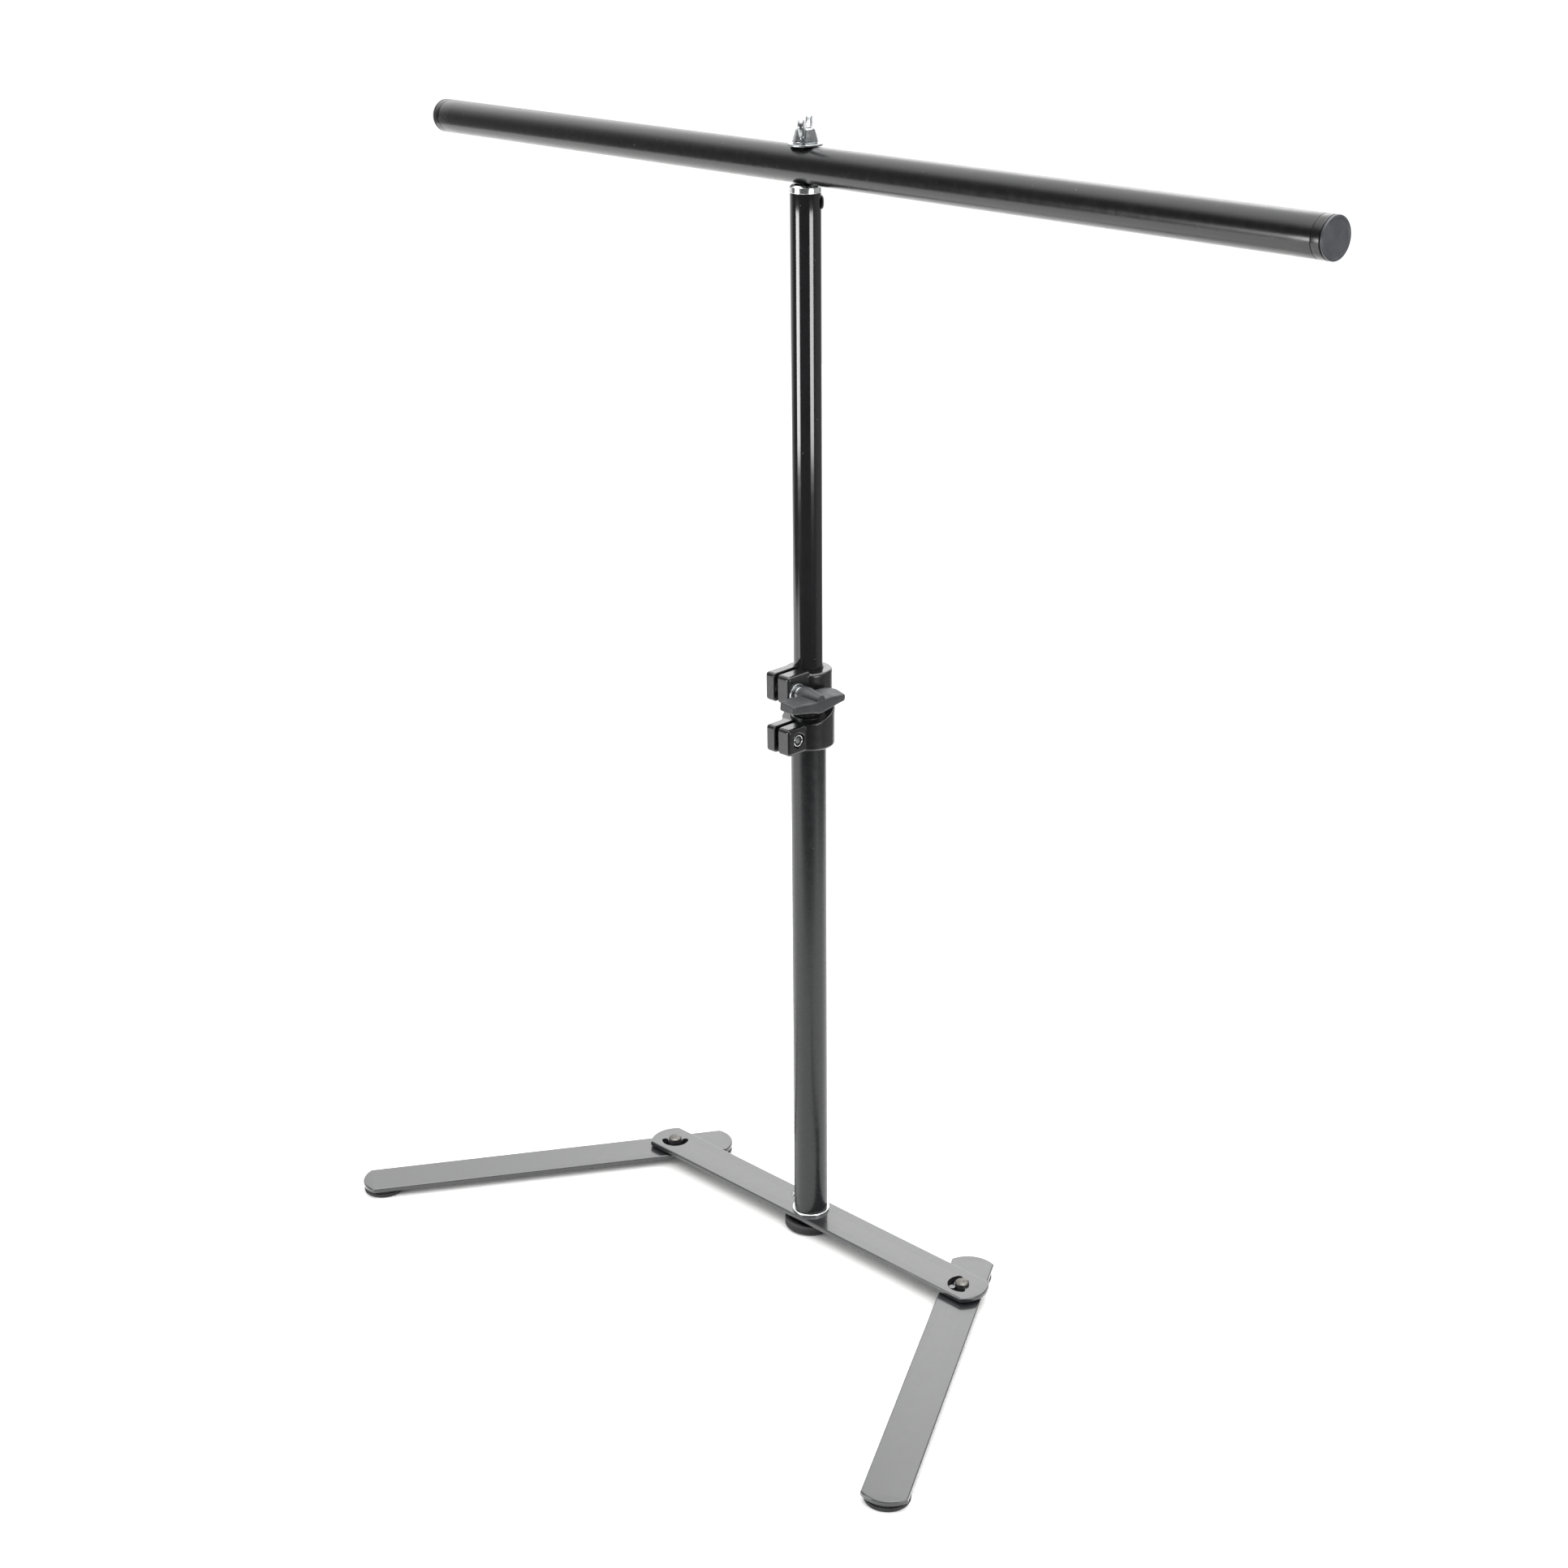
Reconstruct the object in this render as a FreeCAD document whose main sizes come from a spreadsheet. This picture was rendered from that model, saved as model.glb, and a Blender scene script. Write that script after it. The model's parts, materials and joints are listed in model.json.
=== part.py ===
"""Tabletop T-bar backdrop stand, millimetres.

A telescoping mast stands on a flat steel bar with two pivoting flat legs and
carries a horizontal tube that a wing nut holds down. Origin: on the floor, on
the mast axis. +Z is up, +X runs along the base bar, the legs splay towards -Y.
"""
import FreeCAD, Part
import os
import math
import Sketcher

V = FreeCAD.Vector
doc = FreeCAD.newDocument("backdrop_stand")
sheet = doc.addObject("Spreadsheet::Sheet", "Sizes")

# name: (value, meaning). Lengths in mm, angles in degrees.
SIZES = {
    "barLength": (272.0, "base bar, end to end"),
    "strapWidth": (25.0, "width of the bar and of both legs"),
    "strapThick": (3.0, "thickness of the bar and of both legs"),
    "endRadius": (16.7, "radius of the shallow arc that ends each strap"),
    "edgeRound": (0.8, "rounding of the strap edges"),
    "barBottom": (8.0, "height of the bar's underside"),
    "pivotX": (121.0, "leg pivot, distance from the mast axis"),
    "legBottom": (4.0, "height of the legs' underside"),
    "legOut": (198.5, "pivot to the leg's outer end"),
    "legBack": (37.0, "pivot to the leg's rear end"),
    "leftLegDir": (-123.3, "direction of the left leg in plan"),
    "rightLegDir": (-61.2, "direction of the right leg in plan"),
    "pinOrbit": (6.5, "stop pin, distance from the pivot"),
    "pinLead": (51.0, "stop pin angle measured from its leg"),
    "pinRadius": (1.75, "stop pin"),
    "leftPinTop": (9.4, "height of the left stop pin's end"),
    "rightPinTop": (10.9, "height of the right stop pin's end"),
    "slotHalf": (2.0, "half the width of the arc slot"),
    "slotStart": (-51.0, "right slot, first end of its centre line"),
    "slotSweep": (164.0, "sweep of the slot's centre line"),
    "rivetRadius": (2.5, "pivot rivet shank"),
    "rivetPlay": (0.05, "radial play of a leg on its rivet"),
    "domeRadius": (4.1, "pivot rivet dome"),
    "domeRise": (2.2, "pivot rivet dome above the bar"),
    "spacerRadius": (4.4, "spacer between bar and leg"),
    "spacerGap": (0.05, "play between leg and spacer"),
    "footRadius": (12.3, "rubber foot"),
    "footStep": (1.1, "step in radius near the foot's top"),
    "footInset": (12.7, "foot centre, back from the strap end"),
    "knobRadius": (15.8, "base knob"),
    "knobRimTop": (6.4, "height of the base knob's rim"),
    "knobFloor": (3.4, "height of the dish inside the rim"),
    "knobRim": (2.4, "wall of the base knob's rim"),
    "knobHub": (7.0, "base knob's hub radius"),
    "knobHubTop": (7.9, "height of the base knob's hub"),
    "baseBolt": (4.0, "radius of the base knob's bolt"),
    "baseBoltTop": (29.0, "height of the base bolt's end"),
    "threadPlay": (0.05, "radial play of a thread"),
    "flangeRadius": (11.2, "silver flange under the lower tube"),
    "flangeThick": (1.5, "silver flange"),
    "insertTop": (32.0, "height of the plug inside the lower tube"),
    "sidePinZ": (20.0, "height of the side pin through the lower tube"),
    "lowerRadius": (10.0, "lower tube, outside"),
    "lowerWall": (1.0, "lower tube wall"),
    "lowerTop": (331.0, "height of the lower tube's end"),
    "upperRadius": (8.25, "upper tube, outside"),
    "upperWall": (1.0, "upper tube wall"),
    "upperBottom": (282.0, "height of the upper tube's lower end"),
    "upperTop": (617.9, "height of the upper tube's upper end"),
    "slidePlay": (0.05, "radial play of the telescoping parts"),
    "bushLength": (14.0, "guide bush head below the upper tube"),
    "bushStem": (12.0, "guide bush stem inside the upper tube"),
    "lowCollar": (15.0, "clamp, lower collar radius"),
    "topCollar": (13.6, "clamp, upper collar radius"),
    "clampBottom": (313.3, "height of the clamp's underside"),
    "gapBottom": (329.0, "height of the relief gap's floor"),
    "gapTop": (343.5, "height of the relief gap's roof"),
    "clampTop": (360.0, "height of the upper ears' top"),
    "collarEnd": (358.4, "height of the upper collar's rim"),
    "earHalf": (9.3, "half the thickness of the ear pair"),
    "earReach": (24.9, "ear front, distance from the mast axis"),
    "earRound": (1.8, "rounding of the ears"),
    "slitMiddle": (-0.8, "middle of the clamp slit along X"),
    "slitHalf": (1.4, "half the clamp slit"),
    "screwY": (-18.8, "knob screw axis, Y"),
    "screwZ": (349.8, "knob screw axis, height"),
    "lockY": (-17.2, "fixed clamp screw axis, Y"),
    "lockZ": (321.4, "fixed clamp screw axis, height"),
    "screwRadius": (3.0, "M6 knob screw"),
    "lockRadius": (2.0, "M4 fixed clamp screw"),
    "lockNut": (7.0, "M4 nut, across its flats"),
    "handleTurn": (-6.0, "resting turn of the knob handle about its screw"),
    "handleBack": (16.3, "back of the handle's wings, X"),
    "handleFront": (28.7, "front of the handle's wings, X"),
    "handleHub": (5.3, "radius of the handle's hub"),
    "handleNeck": (4.2, "radius of the neck between the washer and the hub"),
    "wingChamfer": (1.3, "corner of a wing's section"),
    "barHeight": (632.0, "crossbar axis height"),
    "crossLength": (680.0, "crossbar, end to end with its caps"),
    "crossRadius": (9.75, "crossbar, outside"),
    "crossWall": (1.2, "crossbar wall"),
    "crossYaw": (-5.3, "resting turn of the crossbar about the mast"),
    "capDisc": (1.3, "end cap disc thickness"),
    "capGroove": (0.5, "groove between the end cap disc and its collar"),
    "capCollar": (4.8, "length of the metal collar at each end"),
    "collarTop": (622.15, "height of the silver collar under the crossbar"),
    "collarRadius": (8.45, "silver collar under the crossbar"),
    "studRadius": (3.0, "M6 stud through the crossbar"),
    "washerRadius": (9.2, "washer under the wing nut"),
    "washerThick": (1.2, "washer under the wing nut"),
    "wingTurn": (-57.0, "resting turn of the wing nut"),
    "sideScrewZ": (613.0, "height of the collar's side screw"),
    "viewTurn": (44.7, "direction of the side screw in plan"),
}
for row, (name, (value, meaning)) in enumerate(SIZES.items(), start=1):
    sheet.set("A%d" % row, name)
    sheet.set("B%d" % row, repr(value))
    sheet.set("C%d" % row, meaning)
    sheet.setAlias("B%d" % row, name)
doc.recompute()


def resolve(text):
    """Put the sheet's name in front of every size named in an expression."""
    out = ""
    word = ""
    for char in text + " ":
        if char.isalnum():
            word += char
            continue
        out += "Sizes." + word if word in SIZES else word
        out += char
        word = ""
    return out.strip()


def size_of(text):
    """Number that an expression made of sizes stands for."""
    return float(sheet.evalExpression(resolve(text)))


def bind(obj, prop, text):
    """Drive a property from the sheet."""
    obj.setExpression(prop, resolve(str(text)))


def place(obj, x="0", y="0", z="0", axis=None, angle=None):
    """Drive an object's position, and its turn about one axis."""
    if axis is not None:
        turn = FreeCAD.Rotation(V(*axis), 0.001)
        obj.Placement = FreeCAD.Placement(V(0, 0, 0), turn)
        bind(obj, "Placement.Rotation.Angle", "(" + angle + ") * 1 deg")
    bind(obj, "Placement.Base.x", x)
    bind(obj, "Placement.Base.y", y)
    bind(obj, "Placement.Base.z", z)


def box(name, x, y, z):
    """Box from three (low, high) pairs of expressions."""
    obj = doc.addObject("Part::Box", name)
    for prop, pair in (("Length", x), ("Width", y), ("Height", z)):
        bind(obj, prop, "(%s) - (%s)" % (pair[1], pair[0]))
    place(obj, x[0], y[0], z[0])
    return obj


def rod(name, radius, low, high, x="0", y="0", along="Z"):
    """Cylinder along +Z or +X; x and y place a Z rod, y and z an X rod."""
    obj = doc.addObject("Part::Cylinder", name)
    bind(obj, "Radius", radius)
    bind(obj, "Height", "(%s) - (%s)" % (high, low))
    if along == "Z":
        place(obj, x, y, low)
    else:
        obj.Placement = FreeCAD.Placement(V(0, 0, 0), FreeCAD.Rotation(V(0, 1, 0), 90))
        place(obj, low, x, y)
    return obj


def hexagon(name, across, low, high, y, z):
    """Hexagonal prism along +X, a flat facing -Y."""
    obj = doc.addObject("Part::Prism", name)
    obj.Polygon = 6
    bind(obj, "Circumradius", "(%s) / sqrt(3)" % across)
    bind(obj, "Height", "(%s) - (%s)" % (high, low))
    turn = FreeCAD.Rotation(V(0, 1, 0), 90)
    obj.Placement = FreeCAD.Placement(V(0, 0, 0), turn)
    place(obj, low, y, z)
    return obj


def join(name, parts):
    """Union of several shapes."""
    obj = doc.addObject("Part::MultiFuse", name)
    obj.Shapes = parts
    obj.Refine = True
    return obj


def cut(name, base, tools):
    """Base less the tools."""
    tool = tools[0]
    if len(tools) > 1:
        tool = join(name + "_tools", tools)
    obj = doc.addObject("Part::Cut", name)
    obj.Base = base
    obj.Tool = tool
    obj.Refine = True
    return obj


def plane_of(body, role):
    """One of a body's own origin planes."""
    for item in body.Origin.OriginFeatures:
        if item.Role == role:
            return item
    raise RuntimeError(role)


def sketch_on(body, role):
    """New sketch on an origin plane of its own body."""
    sketch = body.newObject("Sketcher::SketchObject", body.Name + "_sketch")
    sketch.AttachmentSupport = [(plane_of(body, role), "")]
    sketch.MapMode = "FlatFace"
    return sketch


def outline(sketch, points):
    """Closed polygon; each corner is held at (x, y) expressions."""
    spots = [V(size_of(x), size_of(y), 0) for x, y in points]
    count = len(spots)
    for i in range(count):
        sketch.addGeometry(Part.LineSegment(spots[i], spots[(i + 1) % count]), False)
    for i in range(count):
        sketch.addConstraint(Sketcher.Constraint("Coincident", i, 2, (i + 1) % count, 1))
    for i, (x, y) in enumerate(points):
        for kind, text, value in (("DistanceX", x, spots[i].x), ("DistanceY", y, spots[i].y)):
            index = sketch.addConstraint(Sketcher.Constraint(kind, -1, 1, i, 1, value))
            sketch.setExpression("Constraints[%d]" % index, resolve(text))


def turned(name, points):
    """Solid of revolution about Z from a closed (radius, height) outline."""
    body = doc.addObject("PartDesign::Body", name)
    sketch = sketch_on(body, "XZ_Plane")
    outline(sketch, points)
    spin = body.newObject("PartDesign::Revolution", name + "_turn")
    spin.Profile = sketch
    spin.ReferenceAxis = (sketch, ["V_Axis"])
    spin.Angle = 360.0
    body.Tip = spin
    return body


def extruded(name, role, points, depth):
    """Prism on an origin plane; returns the body, whose tip is the pad."""
    body = doc.addObject("PartDesign::Body", name)
    sketch = sketch_on(body, role)
    outline(sketch, points)
    pad = body.newObject("PartDesign::Pad", name + "_pad")
    pad.Profile = sketch
    bind(pad, "Length", depth)
    body.Tip = pad
    return body


def soften(body, size, wanted):
    """Round the edges whose middle point passes the test."""
    doc.recompute()
    base = body.Tip
    names = []
    for number, edge in enumerate(base.Shape.Edges, start=1):
        middle = edge.valueAt((edge.FirstParameter + edge.LastParameter) / 2)
        if wanted(middle):
            names.append("Edge%d" % number)
    fillet = body.newObject("PartDesign::Fillet", body.Name + "_round")
    fillet.Base = (base, names)
    bind(fillet, "Radius", size)
    body.Tip = fillet


def strap(name, low, high):
    """Flat strap along X with shallow arc ends and rounded edges, from z = 0 up."""
    body = doc.addObject("PartDesign::Body", name)
    sketch = sketch_on(body, "XY_Plane")
    x_low = size_of(low)
    x_high = size_of(high)
    half = size_of("strapWidth / 2")
    radius = size_of("endRadius")
    reach = math.sqrt(radius ** 2 - half ** 2)
    swing = math.asin(half / radius)
    right = x_high - radius
    left = x_low + radius
    corners = [V(left - reach, -half, 0), V(right + reach, -half, 0),
               V(right + reach, half, 0), V(left - reach, half, 0)]
    up = V(0, 0, 1)
    sketch.addGeometry(Part.LineSegment(corners[0], corners[1]), False)
    sketch.addGeometry(Part.ArcOfCircle(Part.Circle(V(right, 0, 0), up, radius), -swing, swing),
                       False)
    sketch.addGeometry(Part.LineSegment(corners[2], corners[3]), False)
    sketch.addGeometry(Part.ArcOfCircle(Part.Circle(V(left, 0, 0), up, radius),
                                        math.pi - swing, math.pi + swing), False)
    for first, first_end, second, second_end in ((0, 2, 1, 1), (1, 2, 2, 1), (2, 2, 3, 1),
                                                 (3, 2, 0, 1)):
        sketch.addConstraint(Sketcher.Constraint("Coincident", first, first_end,
                                                 second, second_end))
    sketch.addConstraint(Sketcher.Constraint("Horizontal", 0))
    sketch.addConstraint(Sketcher.Constraint("Horizontal", 2))
    sketch.addConstraint(Sketcher.Constraint("PointOnObject", 1, 3, -1))
    sketch.addConstraint(Sketcher.Constraint("PointOnObject", 3, 3, -1))
    for item, point, kind, value, text in (
            (0, 1, "DistanceY", -half, "-strapWidth / 2"),
            (2, 1, "DistanceY", half, "strapWidth / 2"),
            (1, 3, "DistanceX", right, "(%s) - endRadius" % high),
            (3, 3, "DistanceX", left, "(%s) + endRadius" % low)):
        index = sketch.addConstraint(Sketcher.Constraint(kind, -1, 1, item, point, value))
        sketch.setExpression("Constraints[%d]" % index, resolve(text))
    for item in (1, 3):
        index = sketch.addConstraint(Sketcher.Constraint("Radius", item, radius))
        sketch.setExpression("Constraints[%d]" % index, resolve("endRadius"))
    pad = body.newObject("PartDesign::Pad", name + "_pad")
    pad.Profile = sketch
    bind(pad, "Length", "strapThick")
    body.Tip = pad
    top = size_of("strapThick")
    soften(body, "edgeRound", lambda point: abs(point.z - top) < 0.01 or abs(point.z) < 0.01)
    return body


NODES = []


def node(obj, label):
    """Name a finished sub-part and list it for export."""
    obj.Label = label
    NODES.append(obj)
    return obj


BAR_TOP = "(barBottom + strapThick)"

# Base bar: strap, two rivet holes, a bolt hole and one arc slot round each rivet.
bar_blank = strap("bar_blank", "-barLength / 2", "barLength / 2")
place(bar_blank, z="barBottom")
bar_tools = [rod("bar_bolt_hole", "baseBolt + 0.3", "barBottom - 1", BAR_TOP + " + 1")]
for side, sign in (("left", -1), ("right", 1)):
    centre = "(%d * pivotX)" % sign
    bar_tools.append(rod(side + "_rivet_hole", "rivetRadius", "barBottom - 1",
                         BAR_TOP + " + 1", centre))
    # The right slot starts at slotStart and sweeps clockwise; the left mirrors it.
    first = "(slotStart - slotSweep)" if sign > 0 else "(180 - slotStart)"
    sector = rod(side + "_slot_sector", "pinOrbit + slotHalf", "barBottom - 1",
                 BAR_TOP + " + 1")
    bind(sector, "Angle", "slotSweep")
    place(sector, centre, "0", "barBottom - 1", (0, 0, 1), first)
    core = rod(side + "_slot_core", "pinOrbit - slotHalf", "barBottom - 2",
               BAR_TOP + " + 2", centre)
    bar_tools.append(cut(side + "_slot_arc", sector, [core]))
    for number, where in enumerate((first, "(%s + slotSweep)" % first)):
        bar_tools.append(rod("%s_slot_end_%d" % (side, number), "slotHalf",
                             "barBottom - 1", BAR_TOP + " + 1",
                             "%s + pinOrbit * cos((%s) * 1 deg)" % (centre, where),
                             "pinOrbit * sin((%s) * 1 deg)" % where))
node(cut("bar_done", bar_blank, bar_tools), "base_bar")

# Legs, and what each pivot carries.
for side, sign in (("left", -1), ("right", 1)):
    heading = side + "LegDir"
    centre = "(%d * pivotX)" % sign
    lead = "(%d * pinLead)" % -sign
    blank = strap(side + "_blank", "-legBack", "legOut")
    holes = [rod(side + "_pivot_hole", "rivetRadius + rivetPlay", "-1", "strapThick + 1"),
             rod(side + "_pin_hole", "pinRadius", "-1", "strapThick + 1",
                 "pinOrbit * cos(%s * 1 deg)" % lead, "pinOrbit * sin(%s * 1 deg)" % lead)]
    leg = cut(side + "_leg_done", blank, holes)
    place(leg, centre, "0", "legBottom", (0, 0, 1), heading)
    node(leg, side + "_leg")
    pin_x = "%s + pinOrbit * cos((%s + %s) * 1 deg)" % (centre, heading, lead)
    pin_y = "pinOrbit * sin((%s + %s) * 1 deg)" % (heading, lead)
    node(rod(side + "_pin_done", "pinRadius", "legBottom", side + "PinTop", pin_x, pin_y),
         side + "_stop_pin")
    rivet = turned(side + "_rivet_done", [
        ("0", "legBottom - 1.4"), ("3.4", "legBottom - 1.4"), ("3.9", "legBottom - 0.9"),
        ("3.9", "legBottom - 0.05"), ("rivetRadius", "legBottom - 0.05"),
        ("rivetRadius", BAR_TOP), ("domeRadius", BAR_TOP),
        ("domeRadius", BAR_TOP + " + 0.45"),
        ("domeRadius * 0.9", BAR_TOP + " + domeRise * 0.5"),
        ("domeRadius * 0.66", BAR_TOP + " + domeRise * 0.8"),
        ("domeRadius * 0.35", BAR_TOP + " + domeRise * 0.96"),
        ("0", BAR_TOP + " + domeRise")])
    place(rivet, centre)
    node(rivet, side + "_rivet")
    spacer = turned(side + "_spacer_done", [
        ("rivetRadius", "legBottom + strapThick + spacerGap"),
        ("spacerRadius", "legBottom + strapThick + spacerGap"),
        ("spacerRadius", "barBottom"), ("rivetRadius", "barBottom")])
    place(spacer, centre)
    node(spacer, side + "_spacer")
    for end, along in (("front", "(legOut - footInset)"), ("rear", "(footInset - legBack)")):
        foot = turned(side + "_" + end + "_foot_done", [
            ("0", "0"), ("footRadius - 0.6", "0"), ("footRadius", "0.6"),
            ("footRadius", "legBottom * 0.62"), ("footRadius - footStep", "legBottom * 0.68"),
            ("footRadius - footStep", "legBottom"), ("0", "legBottom")])
        place(foot, "%s + %s * cos(%s * 1 deg)" % (centre, along, heading),
              "%s * sin(%s * 1 deg)" % (along, heading))
        node(foot, "%s_%s_foot" % (side, end))

# Base knob under the bar, with the bolt that draws the mast down on the bar.
node(turned("base_knob_done", [
    ("baseBolt", "1.2"), ("baseBolt", "knobHubTop"), ("knobHub", "knobHubTop"),
    ("knobHub", "knobFloor"), ("knobRadius - knobRim", "knobFloor"),
    ("knobRadius - knobRim", "knobRimTop"), ("knobRadius - 0.5", "knobRimTop"),
    ("knobRadius", "knobRimTop - 0.5"), ("knobRadius", "1.2"),
    ("knobRadius - 1.4", "0"), ("0", "0"), ("0", "1.2")]), "base_knob")
node(rod("base_bolt_done", "baseBolt", "1.2", "baseBoltTop"), "base_bolt")

# Silver plug with a flange at the foot of the lower tube, and its side pin.
node(turned("base_insert_done", [
    ("baseBolt + threadPlay", BAR_TOP), ("flangeRadius", BAR_TOP),
    ("flangeRadius", BAR_TOP + " + flangeThick"),
    ("lowerRadius - lowerWall", BAR_TOP + " + flangeThick"),
    ("lowerRadius - lowerWall", "insertTop"), ("baseBolt + threadPlay", "insertTop")]),
    "base_insert")

side_pin = [rod("side_pin_shank", "1.1", "lowerRadius - lowerWall", "lowerRadius + 0.5",
                "0", "sidePinZ", "X"),
            rod("side_pin_head", "1.7", "lowerRadius", "lowerRadius + 1.6",
                "0", "sidePinZ", "X")]
lower_outer = rod("lower_outer", "lowerRadius", BAR_TOP + " + flangeThick", "lowerTop")
lower_inner = rod("lower_inner", "lowerRadius - lowerWall", BAR_TOP, "lowerTop + 1")
side_hole = rod("lower_side_hole", "1.1", "lowerRadius - 3", "lowerRadius + 3",
                "0", "sidePinZ", "X")
for finished, label in ((cut("lower_tube_done", lower_outer, [lower_inner, side_hole]),
                         "lower_tube"),
                        (join("insert_pin_done", side_pin), "insert_pin")):
    place(finished, "0", "0", "0", (0, 0, 1), "viewTurn + 180")
    node(finished, label)

# Clamp: two collars on one back wall, two pairs of ears, one slit.
MID_GAP = "((gapBottom + gapTop) / 2)"
collars = [
    turned("low_collar_round", [
        ("0", "clampBottom"), ("lowCollar - 1", "clampBottom"),
        ("lowCollar", "clampBottom + 1"), ("lowCollar", MID_GAP + " - 0.9"),
        ("lowCollar - 0.9", MID_GAP), ("0", MID_GAP)]),
    turned("top_collar_round", [
        ("0", "gapBottom + 1"), ("topCollar", "gapBottom + 1"),
        ("topCollar", "collarEnd - 0.9"), ("topCollar - 0.9", "collarEnd"),
        ("0", "collarEnd")])]
ears = []
for name, low, high in (("low_ears", "clampBottom", "gapBottom"),
                        ("top_ears", "gapTop", "clampTop")):
    ear = extruded(name, "XY_Plane", [
        ("-earHalf", "-earReach"), ("earHalf", "-earReach"), ("earHalf", "-8"),
        ("-earHalf", "-8")], "(%s) - (%s)" % (high, low))
    soften(ear, "earRound", lambda point: point.y < -9)
    place(ear, z=low)
    ears.append(ear)
gap = extruded("clamp_gap", "YZ_Plane", [
    ("-earReach - 5", "gapBottom"), ("-11", "gapBottom"), ("-2", "gapBottom + 2.2"),
    ("9", "gapBottom + 6.5"), ("11", MID_GAP + " + 3"), ("9", "gapTop"),
    ("-earReach - 5", "gapTop")], "60")
place(gap, x="-30")
slit = box("clamp_slit", ("slitMiddle - slitHalf", "slitMiddle + slitHalf"),
           ("-earReach - 5", "0"), ("clampBottom - 5", "clampTop + 5"))
clamp_tools = [
    gap, slit,
    rod("clamp_low_bore", "lowerRadius", "clampBottom - 1", "lowerTop"),
    rod("clamp_top_bore", "upperRadius + slidePlay", "lowerTop - 1", "clampTop + 1"),
    rod("knob_screw_hole", "screwRadius + threadPlay", "-earHalf - 1", "earHalf + 1",
        "screwY", "screwZ", "X"),
    hexagon("knob_nut_pocket", "10.1", "-earHalf - 1", "-earHalf + 4.6", "screwY", "screwZ"),
    rod("lock_screw_hole", "lockRadius", "-earHalf - 1", "earHalf + 1",
        "lockY", "lockZ", "X"),
    hexagon("lock_nut_pocket", "lockNut + 1", "earHalf - 3.4", "earHalf + 1", "lockY", "lockZ"),
    rod("lock_head_pocket", "3.75", "-earHalf - 1", "-earHalf + 4.0",
        "lockY", "lockZ", "X")]
clamp_raw = join("clamp_raw", collars + ears)
node(cut("clamp_done", clamp_raw, clamp_tools), "clamp_body")

# Fixed clamp screw: cap head with a hexagon socket, nut on the other ear.
lock_head = join("lock_raw", [
    rod("lock_shank", "lockRadius", "-earHalf + 3", "earHalf - 0.3", "lockY", "lockZ", "X"),
    rod("lock_cap", "3.5", "-earHalf - 0.2", "-earHalf + 4.0", "lockY", "lockZ", "X")])
node(cut("lock_screw_done", lock_head, [
    hexagon("lock_socket", "3", "-earHalf - 1", "-earHalf + 1.8", "lockY", "lockZ")]),
    "clamp_lock_screw")
node(cut("lock_nut_done", hexagon("lock_nut_raw", "lockNut", "earHalf - 3.4",
                                  "earHalf - 0.6", "lockY", "lockZ"),
         [rod("lock_nut_hole", "lockRadius", "0", "earHalf + 2", "lockY", "lockZ", "X")]),
     "clamp_lock_nut")

# Knob screw: nut let into the far ear, washer on the near ear, winged handle.
node(cut("knob_nut_done", hexagon("knob_nut_raw", "10", "-earHalf + 0.2", "-earHalf + 4.6",
                                  "screwY", "screwZ"),
         [rod("knob_nut_hole", "screwRadius + threadPlay", "-earHalf - 2", "0",
              "screwY", "screwZ", "X")]), "knob_nut")
node(cut("knob_washer_done", rod("knob_washer_raw", "5.8", "earHalf", "earHalf + 1.2",
                                 "screwY", "screwZ", "X"),
         [rod("knob_washer_hole", "screwRadius + 0.3", "earHalf - 1", "earHalf + 3",
              "screwY", "screwZ", "X")]), "knob_washer")
node(rod("knob_screw_done", "screwRadius", "-earHalf - 1.6", "earHalf + 12",
         "screwY", "screwZ", "X"), "knob_screw")
wing_body = doc.addObject("PartDesign::Body", "handle_wings")
wing_sections = []
# Along the wings: offset, back and front inset, top at the back and front, bottom.
for number, (along, back, front, top_back, top_front, low) in enumerate((
        (-21.6, 1.8, 1.3, 0.5, -0.9, -4.4), (-20.0, 1.0, 0.5, 1.0, -0.4, -5.0),
        (-13.0, 0.0, 0.0, 1.5, -0.2, -5.6), (-6.0, 0.0, 0.0, 1.3, -0.3, -6.2),
        (0.0, 0.0, 0.0, 2.2, 0.6, -7.2), (6.0, 0.0, 0.0, 3.2, 1.4, -5.8),
        (13.0, 0.4, 0.5, 3.6, 1.2, -4.2), (20.0, 1.8, 2.0, 2.6, 0.7, -3.2),
        (21.6, 2.6, 2.8, 1.9, 0.2, -2.7))):
    section = wing_body.newObject("Sketcher::SketchObject", "wing_section_%d" % number)
    section.AttachmentSupport = [(plane_of(wing_body, "XZ_Plane"), "")]
    section.MapMode = "FlatFace"
    section.AttachmentOffset = FreeCAD.Placement(V(0, 0, -along), FreeCAD.Rotation())
    x_low = "handleBack + %g" % back
    x_high = "handleFront - %g" % front
    outline(section, [
        (x_low, "%g + wingChamfer" % low), (x_low + " + wingChamfer", "%g" % low),
        (x_high + " - wingChamfer", "%g" % low), (x_high, "%g + wingChamfer" % low),
        (x_high, "%g - wingChamfer" % top_front), (x_high + " - wingChamfer", "%g" % top_front),
        (x_low + " + wingChamfer", "%g" % top_back), (x_low, "%g - wingChamfer" % top_back)])
    wing_sections.append(section)
wings = wing_body.newObject("PartDesign::AdditiveLoft", "handle_loft")
wings.Profile = wing_sections[0]
wings.Sections = wing_sections[1:]
wing_body.Tip = wings
hub = turned("handle_hub", [
    ("0", "earHalf + 1.3"), ("handleNeck", "earHalf + 1.3"), ("handleNeck", "handleBack - 2.5"),
    ("handleHub", "handleBack - 2.2"), ("handleHub", "handleBack + 1.7"),
    ("handleHub * 0.6", "handleFront - 0.4"), ("0", "handleFront - 0.4")])
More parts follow.
